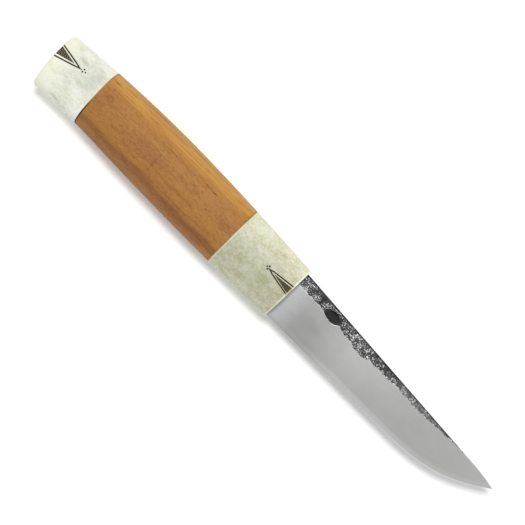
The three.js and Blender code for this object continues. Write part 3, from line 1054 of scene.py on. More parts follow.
def mix(tree, share, first, second, blend="MIX"):
    """Blends two colours."""
    inputs = {0: share, 6: first, 7: second}
    return add(tree, "ShaderNodeMix", inputs, data_type="RGBA", blend_type=blend).outputs[2]


def glaze(tree, colour, tint, mask, share):
    """Lays a tint over a colour through a mask, at a share of its full strength."""
    return mix(tree, calc(tree, "MULTIPLY", mask, share), colour, tint)


def stretch(tree, value, low, high, to_low=0.0, to_high=1.0):
    """Maps low..high to to_low..to_high, eased and held at both ends."""
    inputs = {0: value, 1: low, 2: high, 3: to_low, 4: to_high}
    return add(tree, "ShaderNodeMapRange", inputs, interpolation_type="SMOOTHSTEP").outputs[0]


def noise_at(tree, vector, scale, seed, detail=3.0, roughness=0.5):
    inputs = {"Vector": vector, "W": seed, "Scale": scale, "Detail": detail, "Roughness": roughness}
    return add(tree, "ShaderNodeTexNoise", inputs, noise_dimensions="4D").outputs


def stretch_straight(tree, value, low, high):
    """Maps low..high to 0..1 in a straight line."""
    return add(tree, "ShaderNodeMapRange", {0: value, 1: low, 2: high}).outputs[0]


def ramp(tree, value, stops):
    """A colour ramp over real sizes: stops are (size, colour), in order."""
    low, high = stops[0][0], stops[-1][0]
    node = add(tree, "ShaderNodeValToRGB", {0: stretch_straight(tree, value, low, high)})
    elements = node.color_ramp.elements
    while len(elements) < len(stops):
        elements.new(0.5)
    for element, (size, colour) in zip(elements, stops):
        element.position, element.color = (size - low) / (high - low), colour
    return node.outputs[0]


def level_ramp(tree, value, stops):
    """The same for a plain number instead of a colour: stops are (size, level)."""
    return ramp(tree, value, [(size, (level, level, level, 1.0)) for size, level in stops])


print("shader helpers are ready; white is", swatch(255, 255, 255))

# %% Effect: where on the knife
def knife_place_group():
    tree, given, result = new_tree(
        "knife_place",
        "ShaderNodeTree",
        {"Origin": tuple(knife_origin), "Unit": MM},
        {"Place": "Vector", "Along": "Float", "Across": "Float", "Through": "Float"},
    )
    here = add(tree, "ShaderNodeTexCoord").outputs["Object"]
    moved = vector_calc(tree, "SUBTRACT", here, given["Origin"])
    larger = calc(tree, "DIVIDE", 1.0, given["Unit"])
    place = scaled(tree, moved, larger)
    parts = add(tree, "ShaderNodeSeparateXYZ", {0: place}).outputs
    for value, socket in zip((place, *parts), result):
        tree.links.new(value, socket)
    return tree


knife_place = knife_place_group()
print("knife_place gives:", [item.name for item in knife_place.interface.items_tree if item.in_out == "OUTPUT"])

# %% Effect: grain that runs along the knife
def long_grain_group():
    tree, given, result = new_tree(
        "long_grain",
        "ShaderNodeTree",
        {"Place": ORIGIN, "Length": 30.0, "Width": 0.5, "Wander": 1.0, "Contrast": 1.0, "Seed": 1.0},
        {"Streaks": "Float", "Fibres": "Float"},
    )
    slow = noise_at(tree, given["Place"], 0.045, given["Seed"], 1.0)["Color"]
    swing = vector_calc(tree, "SUBTRACT", slow, (0.5, 0.5, 0.5))
    bent = vector_calc(tree, "ADD", given["Place"], scaled(tree, swing, given["Wander"]))
    cell = add(tree, "ShaderNodeCombineXYZ", {0: given["Length"], 1: given["Width"], 2: given["Width"]}).outputs[0]
    drawn_out = vector_calc(tree, "DIVIDE", bent, cell)
    broad = noise_at(tree, drawn_out, 1.0, given["Seed"], 4.0, 0.6)["Fac"]
    half = calc(tree, "DIVIDE", 0.25, given["Contrast"])
    low, high = calc(tree, "SUBTRACT", 0.5, half), calc(tree, "ADD", 0.5, half)
    tree.links.new(stretch(tree, broad, low, high), result["Streaks"])
    fine = noise_at(tree, drawn_out, 4.0, calc(tree, "ADD", given["Seed"], 9.0), 2.0, 0.7)["Fac"]
    tree.links.new(fine, result["Fibres"])
    return tree


long_grain = long_grain_group()
print("long_grain has", len(long_grain.nodes), "nodes")

# %% Effect: soft clouds
def clouds_group():
    tree, given, result = new_tree(
        "clouds",
        "ShaderNodeTree",
        {"Place": ORIGIN, "Size": 3.0, "Drawn Out": 1.0, "Detail": 3.0, "Low": 0.4, "High": 0.6, "Seed": 1.0},
        {"Mask": "Float", "Height": "Float"},
    )
    cell = add(tree, "ShaderNodeCombineXYZ", {0: given["Drawn Out"], 1: 1.0, 2: 1.0}).outputs[0]
    drawn_out = vector_calc(tree, "DIVIDE", given["Place"], cell)
    scale = calc(tree, "DIVIDE", 1.0, given["Size"])
    cloud = noise_at(tree, drawn_out, scale, given["Seed"], given["Detail"], 0.55)["Fac"]
    tree.links.new(stretch(tree, cloud, given["Low"], given["High"]), result["Mask"])
    tree.links.new(cloud, result["Height"])
    return tree


clouds = clouds_group()
print("clouds has", len(clouds.nodes), "nodes")

# %% Effect: a spot in a known place
def spot_group():
    tree, given, result = new_tree(
        "spot",
        "ShaderNodeTree",
        {
            "Place": ORIGIN, "Centre": ORIGIN, "Reach": (1.0, 1.0, 30.0), "Softness": 0.5, "Raggedness": 0.4,
            "Seed": 1.0,
        },
        {"Mask": "Float"},
    )
    away = vector_calc(tree, "DIVIDE", vector_calc(tree, "SUBTRACT", given["Place"], given["Centre"]), given["Reach"])
    distance = vector_calc(tree, "LENGTH", away)
    ragged = noise_at(tree, away, 1.6, given["Seed"], 3.0, 0.6)["Fac"]
    swing = calc(tree, "MULTIPLY", calc(tree, "MULTIPLY_ADD", ragged, 2.0, -1.0), given["Raggedness"])
    reached = calc(tree, "ADD", distance, swing)
    inner = calc(tree, "SUBTRACT", 1.0, given["Softness"])
    outside = stretch(tree, reached, inner, 1.0)
    tree.links.new(calc(tree, "SUBTRACT", 1.0, outside), result["Mask"])
    return tree


spot = spot_group()
print("spot has", len(spot.nodes), "nodes")

# %% Effect: scattered flecks
def flecks_group():
    tree, given, result = new_tree(
        "flecks",
        "ShaderNodeTree",
        {"Place": ORIGIN, "Spacing": (3.0, 1.0, 1.0), "Share": 0.4, "Radius": 0.25, "Seed": 1.0},
        {"Mask": "Float"},
    )
    cells = vector_calc(tree, "DIVIDE", given["Place"], given["Spacing"])
    inputs = {"Vector": cells, "W": given["Seed"], "Scale": 1.0}
    voronoi = add(tree, "ShaderNodeTexVoronoi", inputs, voronoi_dimensions="4D").outputs
    chance = add(tree, "ShaderNodeSeparateXYZ", {0: voronoi["Color"]}).outputs[0]
    size = calc(tree, "MULTIPLY", given["Radius"], calc(tree, "ADD", chance, 0.4))
    outside = stretch(tree, voronoi["Distance"], calc(tree, "MULTIPLY", size, 0.4), size)
    inside = calc(tree, "SUBTRACT", 1.0, outside)
    chosen = calc(tree, "LESS_THAN", chance, given["Share"])
    tree.links.new(calc(tree, "MULTIPLY", inside, chosen), result["Mask"])
    return tree


flecks = flecks_group()
print("flecks has", len(flecks.nodes), "nodes")


# %% What every finish starts with
def surface(material):
    """The material's tree, its shader's inputs and the knife's coordinates."""
    tree = material.node_tree
    return tree, tree.nodes["Principled BSDF"].inputs, use(tree, knife_place)


def clothe(tree, shader, colour, roughness, relief):
    """Links a finish to its shader."""
    for label, value in (("Base Color", colour), ("Roughness", roughness), ("Normal", relief)):
        tree.links.new(value, shader[label])


def kept(tree, label):
    """A number that the mesh keeps on its points."""
    return add(tree, "ShaderNodeAttribute", attribute_name=label).outputs["Fac"]


def bump(tree, height, distance, normal=None):
    """Raises the surface by a height from zero to one, times a distance in millimetres."""
    inputs = {"Height": height, "Distance": distance * MM, "Strength": 1.0}
    if normal is not None:
        inputs["Normal"] = normal
    return add(tree, "ShaderNodeBump", inputs).outputs[0]


print("ready to mix", len(finish), "finishes")

# %% [markdown]
# ## Waxed wood
#
# The grip is a close-grained golden-brown wood. Its colour changes across the handle, because the block was sawn
# across the growth rings: golden streaks along the back, a darker ring near the edge side. A ramp over the height
# gives those bands. It also paints a highlight along the spine-side shoulder and a pale rim of light reflected from
# the floor along the edge side. Long grain makes the bands stringy, and a few marks sit where the real piece has them.
# Wax fills the surface, so the roughness is even and a little sheen stays in a thin coat.

# %% Wood finish
# Bands over the height. The lighter band towards the spine is partly golden wood and partly a painted highlight on the
# rounded shoulder. The pale lowest rim is painted light reflected from the floor.
WOOD_BANDS_AND_PAINTED_LIGHT = [
    (-12.7, swatch(172, 124, 92)), (-11.4, swatch(154, 103, 64)), (-9.8, swatch(144, 96, 60)),
    (-7.8, swatch(145, 97, 58)), (-6.6, swatch(150, 103, 58)), (-3.0, swatch(150, 100, 53)), (0.0, swatch(145, 95, 48)),
    (5.0, swatch(153, 102, 48)), (8.6, swatch(180, 128, 66)), (10.6, swatch(183, 131, 75)),
    (12.6, swatch(166, 115, 70)),
]
WOOD_MARKS = [  # where, how far they reach, and how strong they are
    ((-41.3, 5.3, 9.0), (1.9, 0.42, 3.0), 0.75),
    ((-44.5, 5.4, 9.0), (2.6, 0.5, 3.0), 0.3),
    ((-39.9, -0.6, 9.0), (1.0, 0.35, 3.0), 0.6),
    ((-63.9, 3.4, 9.0), (0.7, 0.5, 3.0), 0.4),
    ((-63.4, 1.6, 9.0), (0.8, 0.7, 3.0), 0.4),
    ((-63.2, -1.6, 9.0), (1.4, 4.6, 3.0), 0.22),
    ((-88.7, 4.2, 9.0), (1.6, 0.4, 4.0), 0.5),
    ((-90.8, 8.9, 6.0), (2.6, 0.5, 4.0), 0.6),
    ((-85.0, 9.9, 6.0), (6.0, 0.28, 4.0), 0.45),
    ((-63.0, 10.4, 6.0), (9.0, 0.25, 4.0), 0.4),
    ((-89.6, 3.2, 8.0), (3.2, 1.6, 4.0), 0.3),
    ((-58.0, 3.0, -9.0), (2.4, 0.45, 3.0), 0.5),
    ((-75.0, -4.0, -9.0), (1.5, 0.4, 3.0), 0.5),
]


def mix_wood(material):
    tree, shader, knife = surface(material)
    place = knife["Place"]
    grain = use(tree, long_grain, Place=place, Length=22.0, Width=0.8, Wander=3.0, Contrast=1.1, Seed=2.0)
    figure = use(tree, clouds, Place=place, Size=3.6, Drawn_Out=3.2, Detail=4.0, Low=0.38, High=0.62, Seed=5.0)
    curl = use(tree, clouds, Place=place, Size=0.5, Drawn_Out=2.6, Detail=4.0, Low=0.36, High=0.64, Seed=7.0)
    band_edge = use(tree, clouds, Place=place, Size=5.0, Drawn_Out=2.5, Detail=3.0, Low=0.2, High=0.8, Seed=9.0)
    waver = calc(tree, "MULTIPLY_ADD", grain["Streaks"], 0.9, -0.45)
    swing = calc(tree, "MULTIPLY_ADD", band_edge["Height"], 3.4, -1.7)
    height = calc(tree, "ADD", knife["Across"], calc(tree, "ADD", waver, swing))
    # The ramp lays the wood's bands together with their painted highlight and painted floor reflection.
    colour = ramp(tree, height, WOOD_BANDS_AND_PAINTED_LIGHT)
    colour = glaze(tree, colour, swatch(186, 134, 64), figure["Mask"], 0.34)
    colour = mix(tree, stretch(tree, figure["Height"], 0.42, 0.28, 0.0, 0.36), colour, swatch(132, 84, 40))
    colour = mix(tree, stretch(tree, curl["Mask"], 0.0, 1.0, 0.0, 0.22), colour, swatch(198, 142, 88))
    colour = mix(tree, stretch(tree, curl["Height"], 0.48, 0.3, 0.0, 0.28), colour, swatch(116, 66, 32))

    # A dark growth band drops to the front.
    band_line = calc(tree, "MULTIPLY_ADD", knife["Along"], -0.035, -10.4)
    from_band = calc(tree, "ABSOLUTE", calc(tree, "SUBTRACT", height, band_line))
    colour = mix(tree, stretch(tree, from_band, 2.2, 0.3, 0.0, 0.5), colour, swatch(112, 68, 44))
    colour = mix(tree, stretch(tree, grain["Streaks"], 0.45, 0.0, 0.0, 0.3), colour, swatch(116, 66, 24))
    colour = mix(tree, stretch(tree, grain["Fibres"], 0.35, 0.7, 0.0, 0.2), colour, swatch(204, 150, 80))

    # Golden streaks near the back, and the marks.
    golden = use(tree, long_grain, Place=place, Length=20.0, Width=0.5, Wander=1.2, Contrast=2.4, Seed=11.0)
    near_back = stretch(tree, knife["Across"], 6.0, 9.5, 0.0, 0.65)
    colour = glaze(tree, colour, swatch(212, 164, 84), golden["Streaks"], near_back)
    for centre, reach, strength in WOOD_MARKS:
        mark = use(tree, spot, Place=place, Centre=centre, Reach=reach, Softness=0.8, Raggedness=0.6)
        colour = glaze(tree, colour, swatch(104, 56, 22), mark["Mask"], strength)
    roughness = stretch(tree, grain["Fibres"], 0.2, 0.8, 0.5, 0.64)
    clothe(tree, shader, colour, roughness, bump(tree, grain["Fibres"], 0.03))
    shader["Specular IOR Level"].default_value = 0.12
    shader["Coat Weight"].default_value = 0.02
    shader["Coat Roughness"].default_value = 0.35


mix_wood(finish["oiled_wood"])
print("wood bands:", len(WOOD_BANDS_AND_PAINTED_LIGHT), "marks:", len(WOOD_MARKS))

# %% [markdown]
# ## Antler
#
# Polished antler is not white: its dense outside is cream with green and olive veils, streaked by fine canals that
# run along the beam. The core is spongy, so the sawn butt shows brown pores in its middle. The two pieces come from
# different parts of the antler, so they get the same recipe with their own colours.

# %% Antler finish
FACE_HALF, FACE_MIDDLE, FACE_HALF_THICKNESS = 11.1, -1.05, 7.9  # of the ferrule's front face


def arris_highlight(tree, knife):
    """1 on the ferrule's front arris, where a highlight is painted pale, and 0 elsewhere."""
    to_face = calc(tree, "MULTIPLY_ADD", knife["Across"], -float(lean(0.0)), knife["Along"])
    high = calc(tree, "DIVIDE", calc(tree, "SUBTRACT", knife["Across"], FACE_MIDDLE), FACE_HALF)
    wide = calc(tree, "DIVIDE", knife["Through"], FACE_HALF_THICKNESS)
    spread = calc(tree, "ADD", calc(tree, "MULTIPLY", high, high), calc(tree, "MULTIPLY", wide, wide))
    return calc(tree, "MULTIPLY", stretch(tree, to_face, -0.75, -0.4), stretch(tree, spread, 0.83, 0.92))


def mix_antler(material, pale, deep, veil, veil_share, stains, tone_and_painted_shade, joint, seed):
    """stains are (where, how far, how strong, colour), and tone_and_painted_shade is (height, how bright): partly the
    antler's own tone and partly painted light and shade across the height.
    """
    tree, shader, knife = surface(material)
    place = knife["Place"]
    broad = use(tree, clouds, Place=place, Size=4.2, Drawn_Out=1.4, Detail=4.0, Low=0.36, High=0.64, Seed=seed)
    small = use(tree, clouds, Place=place, Size=0.7, Drawn_Out=1.4, Detail=5.0, Low=0.42, High=0.58, Seed=seed + 3)
    canals = use(tree, long_grain, Place=place, Length=1.6, Width=0.3, Wander=3.0, Contrast=1.3, Seed=seed + 5)
    colour = glaze(tree, pale, deep, broad["Mask"], 0.7)
    veils = calc(tree, "MULTIPLY", small["Mask"], calc(tree, "MULTIPLY_ADD", broad["Mask"], 0.5, 0.5))
    colour = glaze(tree, colour, veil, veils, veil_share)
    colour = mix(tree, stretch(tree, canals["Streaks"], 0.5, 1.0, 0.0, 0.3), colour, veil)
    colour = mix(tree, stretch(tree, canals["Fibres"], 0.45, 0.75, 0.0, 0.45), colour, swatch(242, 240, 222))
    pores = use(tree, flecks, Place=place, Spacing=(1.5, 0.6, 0.6), Share=0.25, Radius=0.2, Seed=seed + 1)
    colour = glaze(tree, colour, swatch(128, 122, 88), pores["Mask"], 0.3)
    # Partly the antler's own tone and partly painted light and shade across the height, with a pale painted rim along
    # the edge side.
    colour = mix(tree, 1.0, colour, level_ramp(tree, knife["Across"], tone_and_painted_shade), "MULTIPLY")
    for centre, reach, strength, tint in stains:
        mark = use(tree, spot, Place=place, Centre=centre, Reach=reach, Softness=0.9, Raggedness=0.8, Seed=seed)
        colour = glaze(tree, colour, tint, mark["Mask"], strength)

    # Painted highlights: the antler is painted paler on the butt's rounded edge, along the joint and on the front
    # arris.
    colour = mix(tree, stretch(tree, knife["Along"], butt + 9.0, butt + 1.0, 0.0, 0.5), colour, swatch(248, 249, 220))
    # Painted highlight along the edge of the joint.
    to_joint = calc(tree, "ABSOLUTE", calc(tree, "SUBTRACT", knife["Along"], joint))
    colour = mix(tree, stretch(tree, to_joint, 0.5, 0.25, 0.0, 0.4), colour, swatch(240, 240, 220))
    # Painted highlight on the ferrule's front arris, stronger towards the spine.
    arris_highlight_share = stretch(tree, knife["Across"], -8.0, 4.0, 0.45, 0.85)
    colour = glaze(tree, colour, swatch(252, 252, 232), arris_highlight(tree, knife), arris_highlight_share)

    # The spongy core shows in the sawn butt.
    sponge = use(tree, spot, Place=place, Centre=(butt, -0.5, 0.0), Reach=(0.6, 5.6, 4.4), Softness=0.5, Raggedness=0.3)
    cells = use(tree, flecks, Place=place, Spacing=(3.0, 0.75, 0.75), Share=0.9, Radius=0.7, Seed=seed + 2)
    spongy = mix(tree, cells["Mask"], swatch(214, 196, 158), swatch(120, 92, 62))
    colour = mix(tree, sponge["Mask"], colour, spongy)
    hollow = calc(tree, "MULTIPLY", cells["Mask"], sponge["Mask"])
    height = calc(tree, "SUBTRACT", calc(tree, "MULTIPLY", canals["Fibres"], 0.4), hollow)
    roughness = stretch(tree, canals["Streaks"], 0.0, 1.0, 0.4, 0.52)
    clothe(tree, shader, colour, roughness, bump(tree, height, 0.06))
    shader["Specular IOR Level"].default_value = 0.3
    shader["Coat Weight"].default_value = 0.05
    shader["Coat Roughness"].default_value = 0.25


RUST = swatch(190, 128, 70)
OLIVE = swatch(150, 154, 104)
GREY = swatch(176, 178, 162)
mix_antler(
    finish["ferrule_antler"], swatch(228, 226, 204), swatch(214, 212, 178), swatch(184, 184, 138), 0.7,
    [
        ((-1.3, -10.0, 6.0), (1.4, 1.4, 6.0), 0.5, RUST),
        ((-10.5, 6.5, 7.0), (4.0, 1.6, 4.0), 0.3, OLIVE),
        ((-9.8, -3.6, 8.0), (4.0, 4.4, 4.0), 0.5, OLIVE),
        ((-19.0, 7.5, 6.0), (8.0, 3.4, 5.0), 0.55, swatch(226, 231, 212)),
        ((-8.5, 2.5, 8.0), (3.5, 1.8, 4.0), 0.3, OLIVE),
        ((-8.0, 8.5, -6.0), (3.0, 1.6, 4.0), 0.4, OLIVE),
    ],
    # The ferrule's tone across its height. The darker lower side is its own. The lighter spine side and the pale lowest
    # rim are painted light.
    [
        (-12.7, 0.95), (-11.0, 0.85), (-8.0, 0.72), (-5.0, 0.72), (-2.0, 0.72), (1.0, 0.74), (4.0, 0.85),
        (7.0, 1.0), (10.0, 1.1),
    ],
    joint=-FERRULE_LENGTH,
    seed=21.0,
)
mix_antler(
    finish["pommel_antler"], swatch(238, 239, 228), swatch(222, 224, 206), swatch(198, 202, 178), 0.5,
    [
        ((-104.0, 6.2, 8.0), (3.6, 1.0, 4.0), 0.42, OLIVE),
        ((-108.0, 8.6, 6.0), (2.2, 1.2, 4.0), 0.3, OLIVE),
        ((-100.5, -0.4, 9.0), (1.8, 1.6, 4.0), 0.3, OLIVE),
        ((-103.5, -9.6, 6.0), (3.4, 0.7, 4.0), 0.4, OLIVE),
        ((-99.0, -9.9, 6.0), (1.4, 0.4, 4.0), 0.5, OLIVE),
        ((-112.5, -1.5, 7.0), (2.0, 3.0, 4.0), 0.14, swatch(232, 232, 150)),
        ((-97.0, 4.0, 8.5), (5.5, 7.0, 4.0), 0.4, GREY),
        ((-96.0, -2.0, -8.5), (2.0, 5.0, 4.0), 0.4, GREY),
    ],
    # The pommel's tone across its height is painted light and shade: paler towards the edge side and the spine side
    # than in the middle.
    [(-12.0, 1.05), (-8.0, 1.12), (-5.0, 1.06), (-2.0, 0.95), (1.0, 0.9), (5.0, 0.92), (8.0, 0.98), (11.0, 1.06)],
    joint=pommel_front,
    seed=33.0,
)
print("antler: two finishes from one recipe")

# %% [markdown]
# ## Forged and ground steel
#
# Two surfaces share one blade. The ground flats are bright satin metal with faint clouds where the hardening shows.
# Under the spine the forge scale is left: near-black oxide, broken by bright specks where the hammer or the grinder
# touched a high place. The mesh says how deep the scale lies, and noise breaks up its border.

# %% Steel finish
SCALE_WEAR = [  # place along the blade and how much of the scale is worn to bright specks
    (0.0, 0.56), (5.0, 0.54), (11.0, 0.38), (14.0, 0.62), (17.0, 0.7), (20.0, 0.5), (27.0, 0.6), (33.0, 0.54),
    (36.0, 0.56), (42.0, 0.52), (46.0, 0.4), (50.0, 0.5), (58.0, 0.54), (66.0, 0.46), (80.0, 0.4), (97.0, 0.4),
]
# The first stop is painted light. It brightens the heel, where the ferrule's face shades the steel.
FLAT_TONE = [  # place along the blade and how bright the ground flat is
    (0.0, 216), (1.6, 188), (5.0, 173), (9.0, 161), (16.0, 161), (23.0, 181), (30.0, 194), (37.0, 195), (44.0, 193),
    (51.0, 193), (58.0, 190), (65.0, 194), (80.0, 209), (88.0, 222), (97.0, 230),
]
SCALE_FADE = [  # place along the blade and how much the dark scale is rubbed grey
    (0.0, 0.25), (6.0, 0.1), (14.0, 0.0), (24.0, 0.1), (29.0, 0.25), (35.0, 0.1), (46.0, 0.1), (51.0, 0.68),
    (60.0, 0.6), (70.0, 0.45), (97.0, 0.3),
]


def grey(value):
    return swatch(value, value, value)


def mix_steel(material):
    tree, shader, knife = surface(material)
    place = knife["Place"]
    depth, dent, to_spine, to_edge = (kept(tree, label) for label in ("scale_depth", "dent", "to_spine", "to_edge"))
    border = use(tree, clouds, Place=place, Size=0.6, Drawn_Out=1.4, Detail=4.0, Low=0.3, High=0.7, Seed=3.0)
    ragged = calc(tree, "ADD", depth, calc(tree, "MULTIPLY_ADD", border["Mask"], 0.06, -0.03))
    in_dent = calc(tree, "MULTIPLY", stretch(tree, depth, 0.0, 0.01), stretch(tree, dent, 0.0, 0.04))
    scale = calc(tree, "MAXIMUM", stretch(tree, ragged, 0.0, 0.02), in_dent)

    # The scale's own colour, and the bright places worn through it.
    patches = use(tree, clouds, Place=place, Size=1.3, Drawn_Out=1.3, Detail=5.0, Low=0.38, High=0.62, Seed=8.0)
    scale_colour = mix(tree, patches["Mask"], grey(8), grey(58))
    fade = level_ramp(tree, knife["Along"], SCALE_FADE)
    scale_colour = glaze(tree, scale_colour, grey(112), fade, stretch(tree, to_spine, 0.1, 1.2, 0.4, 1.0))
    wear = level_ramp(tree, knife["Along"], SCALE_WEAR)
    low_band = stretch(tree, depth, 0.3, 0.05, 0.0, 0.1)
    crumbs = use(tree, clouds, Place=place, Size=0.4, Drawn_Out=1.1, Detail=5.0, Low=0.0, High=1.0, Seed=14.0)
    swirls = use(tree, clouds, Place=place, Size=1.9, Drawn_Out=1.2, Detail=4.0, Low=0.0, High=1.0, Seed=17.0)
    near_spine = stretch(tree, to_spine, 0.8, 0.1, 0.0, 0.3)
    wish = calc(tree, "SUBTRACT", calc(tree, "ADD", wear, low_band), near_spine)
    limit = add(tree, "ShaderNodeMapRange", {0: wish, 1: 0.0, 2: 1.0, 3: 0.66, 4: 0.38}, clamp=False).outputs[0]
    limit = calc(tree, "ADD", limit, stretch(tree, dent, 0.0, 0.1))
    pattern = calc(tree, "MULTIPLY_ADD", swirls["Height"], 0.4, calc(tree, "MULTIPLY", crumbs["Height"], 0.6))
    bright = stretch(tree, calc(tree, "SUBTRACT", pattern, limit), 0.0, 0.07)
    clean = use(tree, spot, Place=place, Centre=(44.2, 2.9, 1.8), Reach=(1.5, 0.85, 1.0), Softness=0.35, Raggedness=0.2)
    scale_colour = glaze(tree, scale_colour, grey(92), clean["Mask"], 0.8)
    bright = calc(tree, "MULTIPLY", bright, calc(tree, "SUBTRACT", 1.0, clean["Mask"]))
    hollow = stretch(tree, dent, 0.0, 0.8, 0.0, 0.85)
    scale_colour = mix(tree, hollow, scale_colour, mix(tree, patches["Mask"], grey(4), grey(30)))
    nick = use(tree, spot, Place=place, Centre=(37.7, 4.3, 1.8), Reach=(0.16, 1.2, 1.0), Softness=0.6, Raggedness=0.2)
    worn = calc(tree, "MAXIMUM", bright, nick["Mask"])
    worn_tone = stretch(tree, crumbs["Height"], 0.45, 0.68, 0.0, 1.0)
    scale_colour = mix(tree, worn, scale_colour, mix(tree, worn_tone, grey(108), grey(205)))

    # The ground flats.
    haze = use(tree, clouds, Place=place, Size=6.0, Drawn_Out=1.8, Detail=3.0, Low=0.3, High=0.7, Seed=4.0)
    lines = use(tree, long_grain, Place=place, Length=14.0, Width=0.16, Wander=0.4, Contrast=0.9, Seed=6.0)
    ground = ramp(tree, knife["Along"], [(x, swatch(tone, tone, tone - 2)) for x, tone in FLAT_TONE])
    ground = glaze(tree, ground, grey(220), haze["Mask"], 0.16)
    ground = glaze(tree, ground, grey(150), lines["Streaks"], 0.12)
    # Painted shade: on the rear of the blade the flat is painted darker towards the edge.
    rear = stretch(tree, knife["Along"], 62.0, 40.0, 0.0, 0.15)
    ground = glaze(tree, ground, grey(136), stretch_straight(tree, knife["Across"], 0.0, -11.0), rear)
    heel = stretch(tree, knife["Along"], 11.0, 1.0, 0.0, 0.5)
    ground = glaze(tree, ground, swatch(184, 186, 192), heel, stretch(tree, haze["Height"], 0.3, 0.7, 0.4, 1.0))
    # Painted reflection: the bevel is painted paler, in place of the lamp's reflection that it turns away from.
    bevel_painted_light_share = stretch(tree, knife["Along"], 8.0, 40.0, 0.3, 0.75)
    ground = glaze(tree, ground, grey(236), stretch(tree, to_edge, 2.4, 0.5), bevel_painted_light_share)

    # Painted highlight: the very edge is painted bright and less metallic, most of all near the point.
    edge_glint_share = stretch(tree, knife["Along"], 20.0, 80.0, 0.08, 1.0)
    edge_glint = calc(tree, "MULTIPLY", stretch(tree, to_edge, 0.34, 0.1), edge_glint_share)
    ground = mix(tree, edge_glint, ground, grey(250))

    # Scale is an oxide and not a metal, except where it is worn through.
    oxide = calc(tree, "MULTIPLY", scale, calc(tree, "MULTIPLY_ADD", worn, -0.6, 1.0))
    bare = calc(tree, "SUBTRACT", 1.0, oxide)
    tree.links.new(calc(tree, "MULTIPLY_ADD", edge_glint, -0.45, bare), shader["Metallic"])
    satin = stretch(tree, lines["Fibres"], 0.3, 0.7, 0.36, 0.44)
    rough_scale = stretch(tree, patches["Mask"], 0.0, 1.0, 0.55, 0.7)
    roughness = add(tree, "ShaderNodeMix", {0: oxide, 2: satin, 3: rough_scale}).outputs[0]
    crust = calc(tree, "MULTIPLY", pattern, scale)
    relief = bump(tree, crust, 0.12, bump(tree, lines["Streaks"], 0.003))
    clothe(tree, shader, mix(tree, scale, ground, scale_colour), roughness, relief)
    shader["Specular IOR Level"].default_value = 0.25


mix_steel(finish["forged_steel"])
print("steel: scale wear is given at", len(SCALE_WEAR), "places, the flat's tone at", len(FLAT_TONE))

# %% [markdown]
# ## Pigment, fibre and resin
#
# The small pieces matter too. The pigment is a brown-black paste, darkest along the cut's walls and browner where
# wiping thinned it. The liners are vulcanised fibre, tan with hair-fine threads, and the rear one is darker on its
# lower half. The resin round the tang is hidden inside the handle, but it gets its own honey-coloured finish, for
# anyone who takes the knife apart.

# %% Small finishes
def mix_pigment(material):
    tree, shader, knife = surface(material)
    grains = use(tree, clouds, Place=knife["Place"], Size=0.35, Detail=3.0, Low=0.35, High=0.65, Seed=2.0)
    thin = calc(tree, "MULTIPLY_ADD", grains["Mask"], 0.5, 0.5)
    paste = glaze(tree, swatch(24, 18, 4), swatch(72, 58, 30), kept(tree, "wiped"), thin)
    # Painted highlight on the ferrule's front arris, laid over the paste too.
    paste = glaze(tree, paste, swatch(206, 200, 172), arris_highlight(tree, knife), 0.8)
    roughness = stretch(tree, grains["Mask"], 0.0, 1.0, 0.55, 0.8)
    clothe(tree, shader, paste, roughness, bump(tree, grains["Height"], 0.03))
    shader["Specular IOR Level"].default_value = 0.2


def mix_fibre(material):
    tree, shader, knife = surface(material)
    place = knife["Place"]
    threads = use(tree, clouds, Place=place, Size=0.5, Drawn_Out=0.4, Detail=5.0, Low=0.35, High=0.65, Seed=6.0)
    fibre = mix(tree, threads["Mask"], swatch(146, 108, 58), swatch(184, 144, 86))
    low, rear = stretch(tree, knife["Across"], 1.0, -6.0), stretch(tree, knife["Along"], -59.0, -61.0)
    fibre = glaze(tree, fibre, swatch(34, 26, 14), low, rear)
    roughness = stretch(tree, threads["Mask"], 0.0, 1.0, 0.5, 0.7)
    clothe(tree, shader, fibre, roughness, bump(tree, threads["Height"], 0.03))


def mix_resin(material):
    tree, shader, knife = surface(material)
    streaks = use(tree, clouds, Place=knife["Place"], Size=4.0, Drawn_Out=3.0, Detail=3.0, Low=0.3, High=0.7, Seed=9.0)
    bubbles = use(tree, flecks, Place=knife["Place"], Spacing=(0.9, 0.9, 0.9), Share=0.5, Radius=0.25, Seed=5.0)
    body = mix(tree, streaks["Mask"], swatch(196, 150, 84), swatch(214, 176, 112))
    body = glaze(tree, body, swatch(236, 214, 168), bubbles["Mask"], 0.5)
    roughness = stretch(tree, streaks["Mask"], 0.0, 1.0, 0.3, 0.4)
    clothe(tree, shader, body, roughness, bump(tree, bubbles["Mask"], 0.05))


mix_pigment(finish["rubbed_pigment"])
mix_fibre(finish["dark_fibre"])
mix_resin(finish["cast_resin"])
print("small finishes are mixed")

# %% [markdown]
# ## Putting the pieces on the frame
#
# Nothing on a fixed knife moves, so every piece rides on the one body. The plain solid that a piece replaces is
# hidden, and each piece wears its finish.

# %% Finishes and places
def dress(piece, material):
    piece.data.materials.clear()
    piece.data.materials.append(finish[material])


def stands_for(piece, node):
    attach(piece, "root")
    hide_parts(node)


dress(blade, "forged_steel")
dress(ferrule, "ferrule_antler")
dress(pommel, "pommel_antler")
bodies = {
    "blade": blade, "front_ferrule": ferrule, "pommel": pommel,
    "wood_grip": grip, "front_liner": front_liner, "rear_liner": rear_liner,
}
for node, piece in bodies.items():
    stands_for(piece, node)
for node, piece in fillings.items():
    dress(piece, "rubbed_pigment")
    stands_for(piece, node)
for end in dots:
    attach(dots[end], "root")
    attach(hatching[end], "root")

bedding = bpy.data.objects["tang_bedding"]
for slot in bedding.material_slots:
    slot.material = finish["cast_resin"]
print("pieces on the frame:", len(bodies) + len(fillings) + len(dots) + len(hatching))

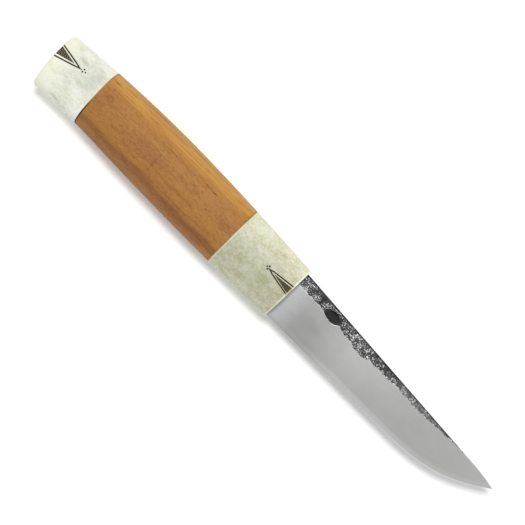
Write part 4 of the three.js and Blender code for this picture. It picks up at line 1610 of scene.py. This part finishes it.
# %% [markdown]
# ## Floor, light and camera
#
# The knife lies on its side on a plain pale floor. One small soft lamp hangs over the spine side, a little towards
# the butt, so the rounded handle darkens towards the edge side and a soft shadow lies there. The sky of the scene
# fills the rest. The camera looks straight down, with the knife's tip to the lower right.

# %% Floor
FLOOR_REACH = 1.5
FLOOR_TONE = (0.92, 0.92, 0.92, 1.0)
FLOOR_GRAIN = 0.995  # how much darker the paper's grain is
FLOOR_GLOW = 0.165  # a light table, lit a little from below, so that shadows stay short and pale
WHITE = (1.0, 1.0, 1.0, 1.0)


def make_floor():
    mesh = bpy.data.meshes.new("floor")
    corners = [(x * FLOOR_REACH, y * FLOOR_REACH, 0) for x, y in ((-1, -1), (1, -1), (1, 1), (-1, 1))]
    mesh.from_pydata(corners, [], [(0, 1, 2, 3)])
    material = new_material("pale_floor")
    tree = material.node_tree
    shader = tree.nodes["Principled BSDF"].inputs
    here = add(tree, "ShaderNodeTexCoord").outputs["Object"]
    paper = noise_at(tree, here, 40.0, 1.0, 3.0)["Fac"]
    darker = tuple(value * FLOOR_GRAIN for value in FLOOR_TONE[:3]) + (1.0,)
    tree.links.new(mix(tree, paper, FLOOR_TONE, darker), shader["Base Color"])
    shader["Roughness"].default_value = 0.9
    shader["Specular IOR Level"].default_value = 0.1
    shader["Emission Color"].default_value = WHITE
    shader["Emission Strength"].default_value = FLOOR_GLOW
    mesh.materials.append(material)
    return new_object("floor", mesh)


floor = make_floor()
print("the floor lies at z = 0")

# %% Lights
SKY = 0.45
KEY_POWER, KEY_SIZE = 2.65, 0.15
KEY_PLACE, KEY_AIM = Vector((-0.08, 0.135, 0.64)), Vector((0.0, 0.0, 0.0))

world = bpy.data.worlds.new("studio")
bpy.context.scene.world = world
world.use_nodes = True
sky = world.node_tree.nodes["Background"].inputs
sky["Color"].default_value = WHITE
sky["Strength"].default_value = SKY

key_data = bpy.data.lights.new("key", "AREA")
key_data.energy, key_data.size = KEY_POWER, KEY_SIZE
key = new_object("key", key_data)
key.location = KEY_PLACE
key.rotation_euler = (KEY_AIM - KEY_PLACE).to_track_quat("-Z", "Y").to_euler()
bpy.context.scene.view_settings.view_transform = "Standard"
print("key light at", tuple(round(v, 2) for v in KEY_PLACE))

# %% Camera
VIEW_HEIGHT, VIEW_WIDTH, VIEW_TURN = 500.0, 180.1, 44.6  # millimetres, millimetres, degrees
VIEW_CENTRE = (-13.7, 0.05)
SENSOR = 36

camera_data = bpy.data.cameras.new("camera")
camera_data.sensor_width = SENSOR
camera_data.lens = SENSOR * VIEW_HEIGHT / VIEW_WIDTH
camera = new_object("camera", camera_data)
camera.location = Vector(to_frame([*VIEW_CENTRE, VIEW_HEIGHT]))
camera.rotation_euler = (0, 0, math.radians(VIEW_TURN))
bpy.context.scene.camera = camera
print("camera lens:", round(camera_data.lens, 1))
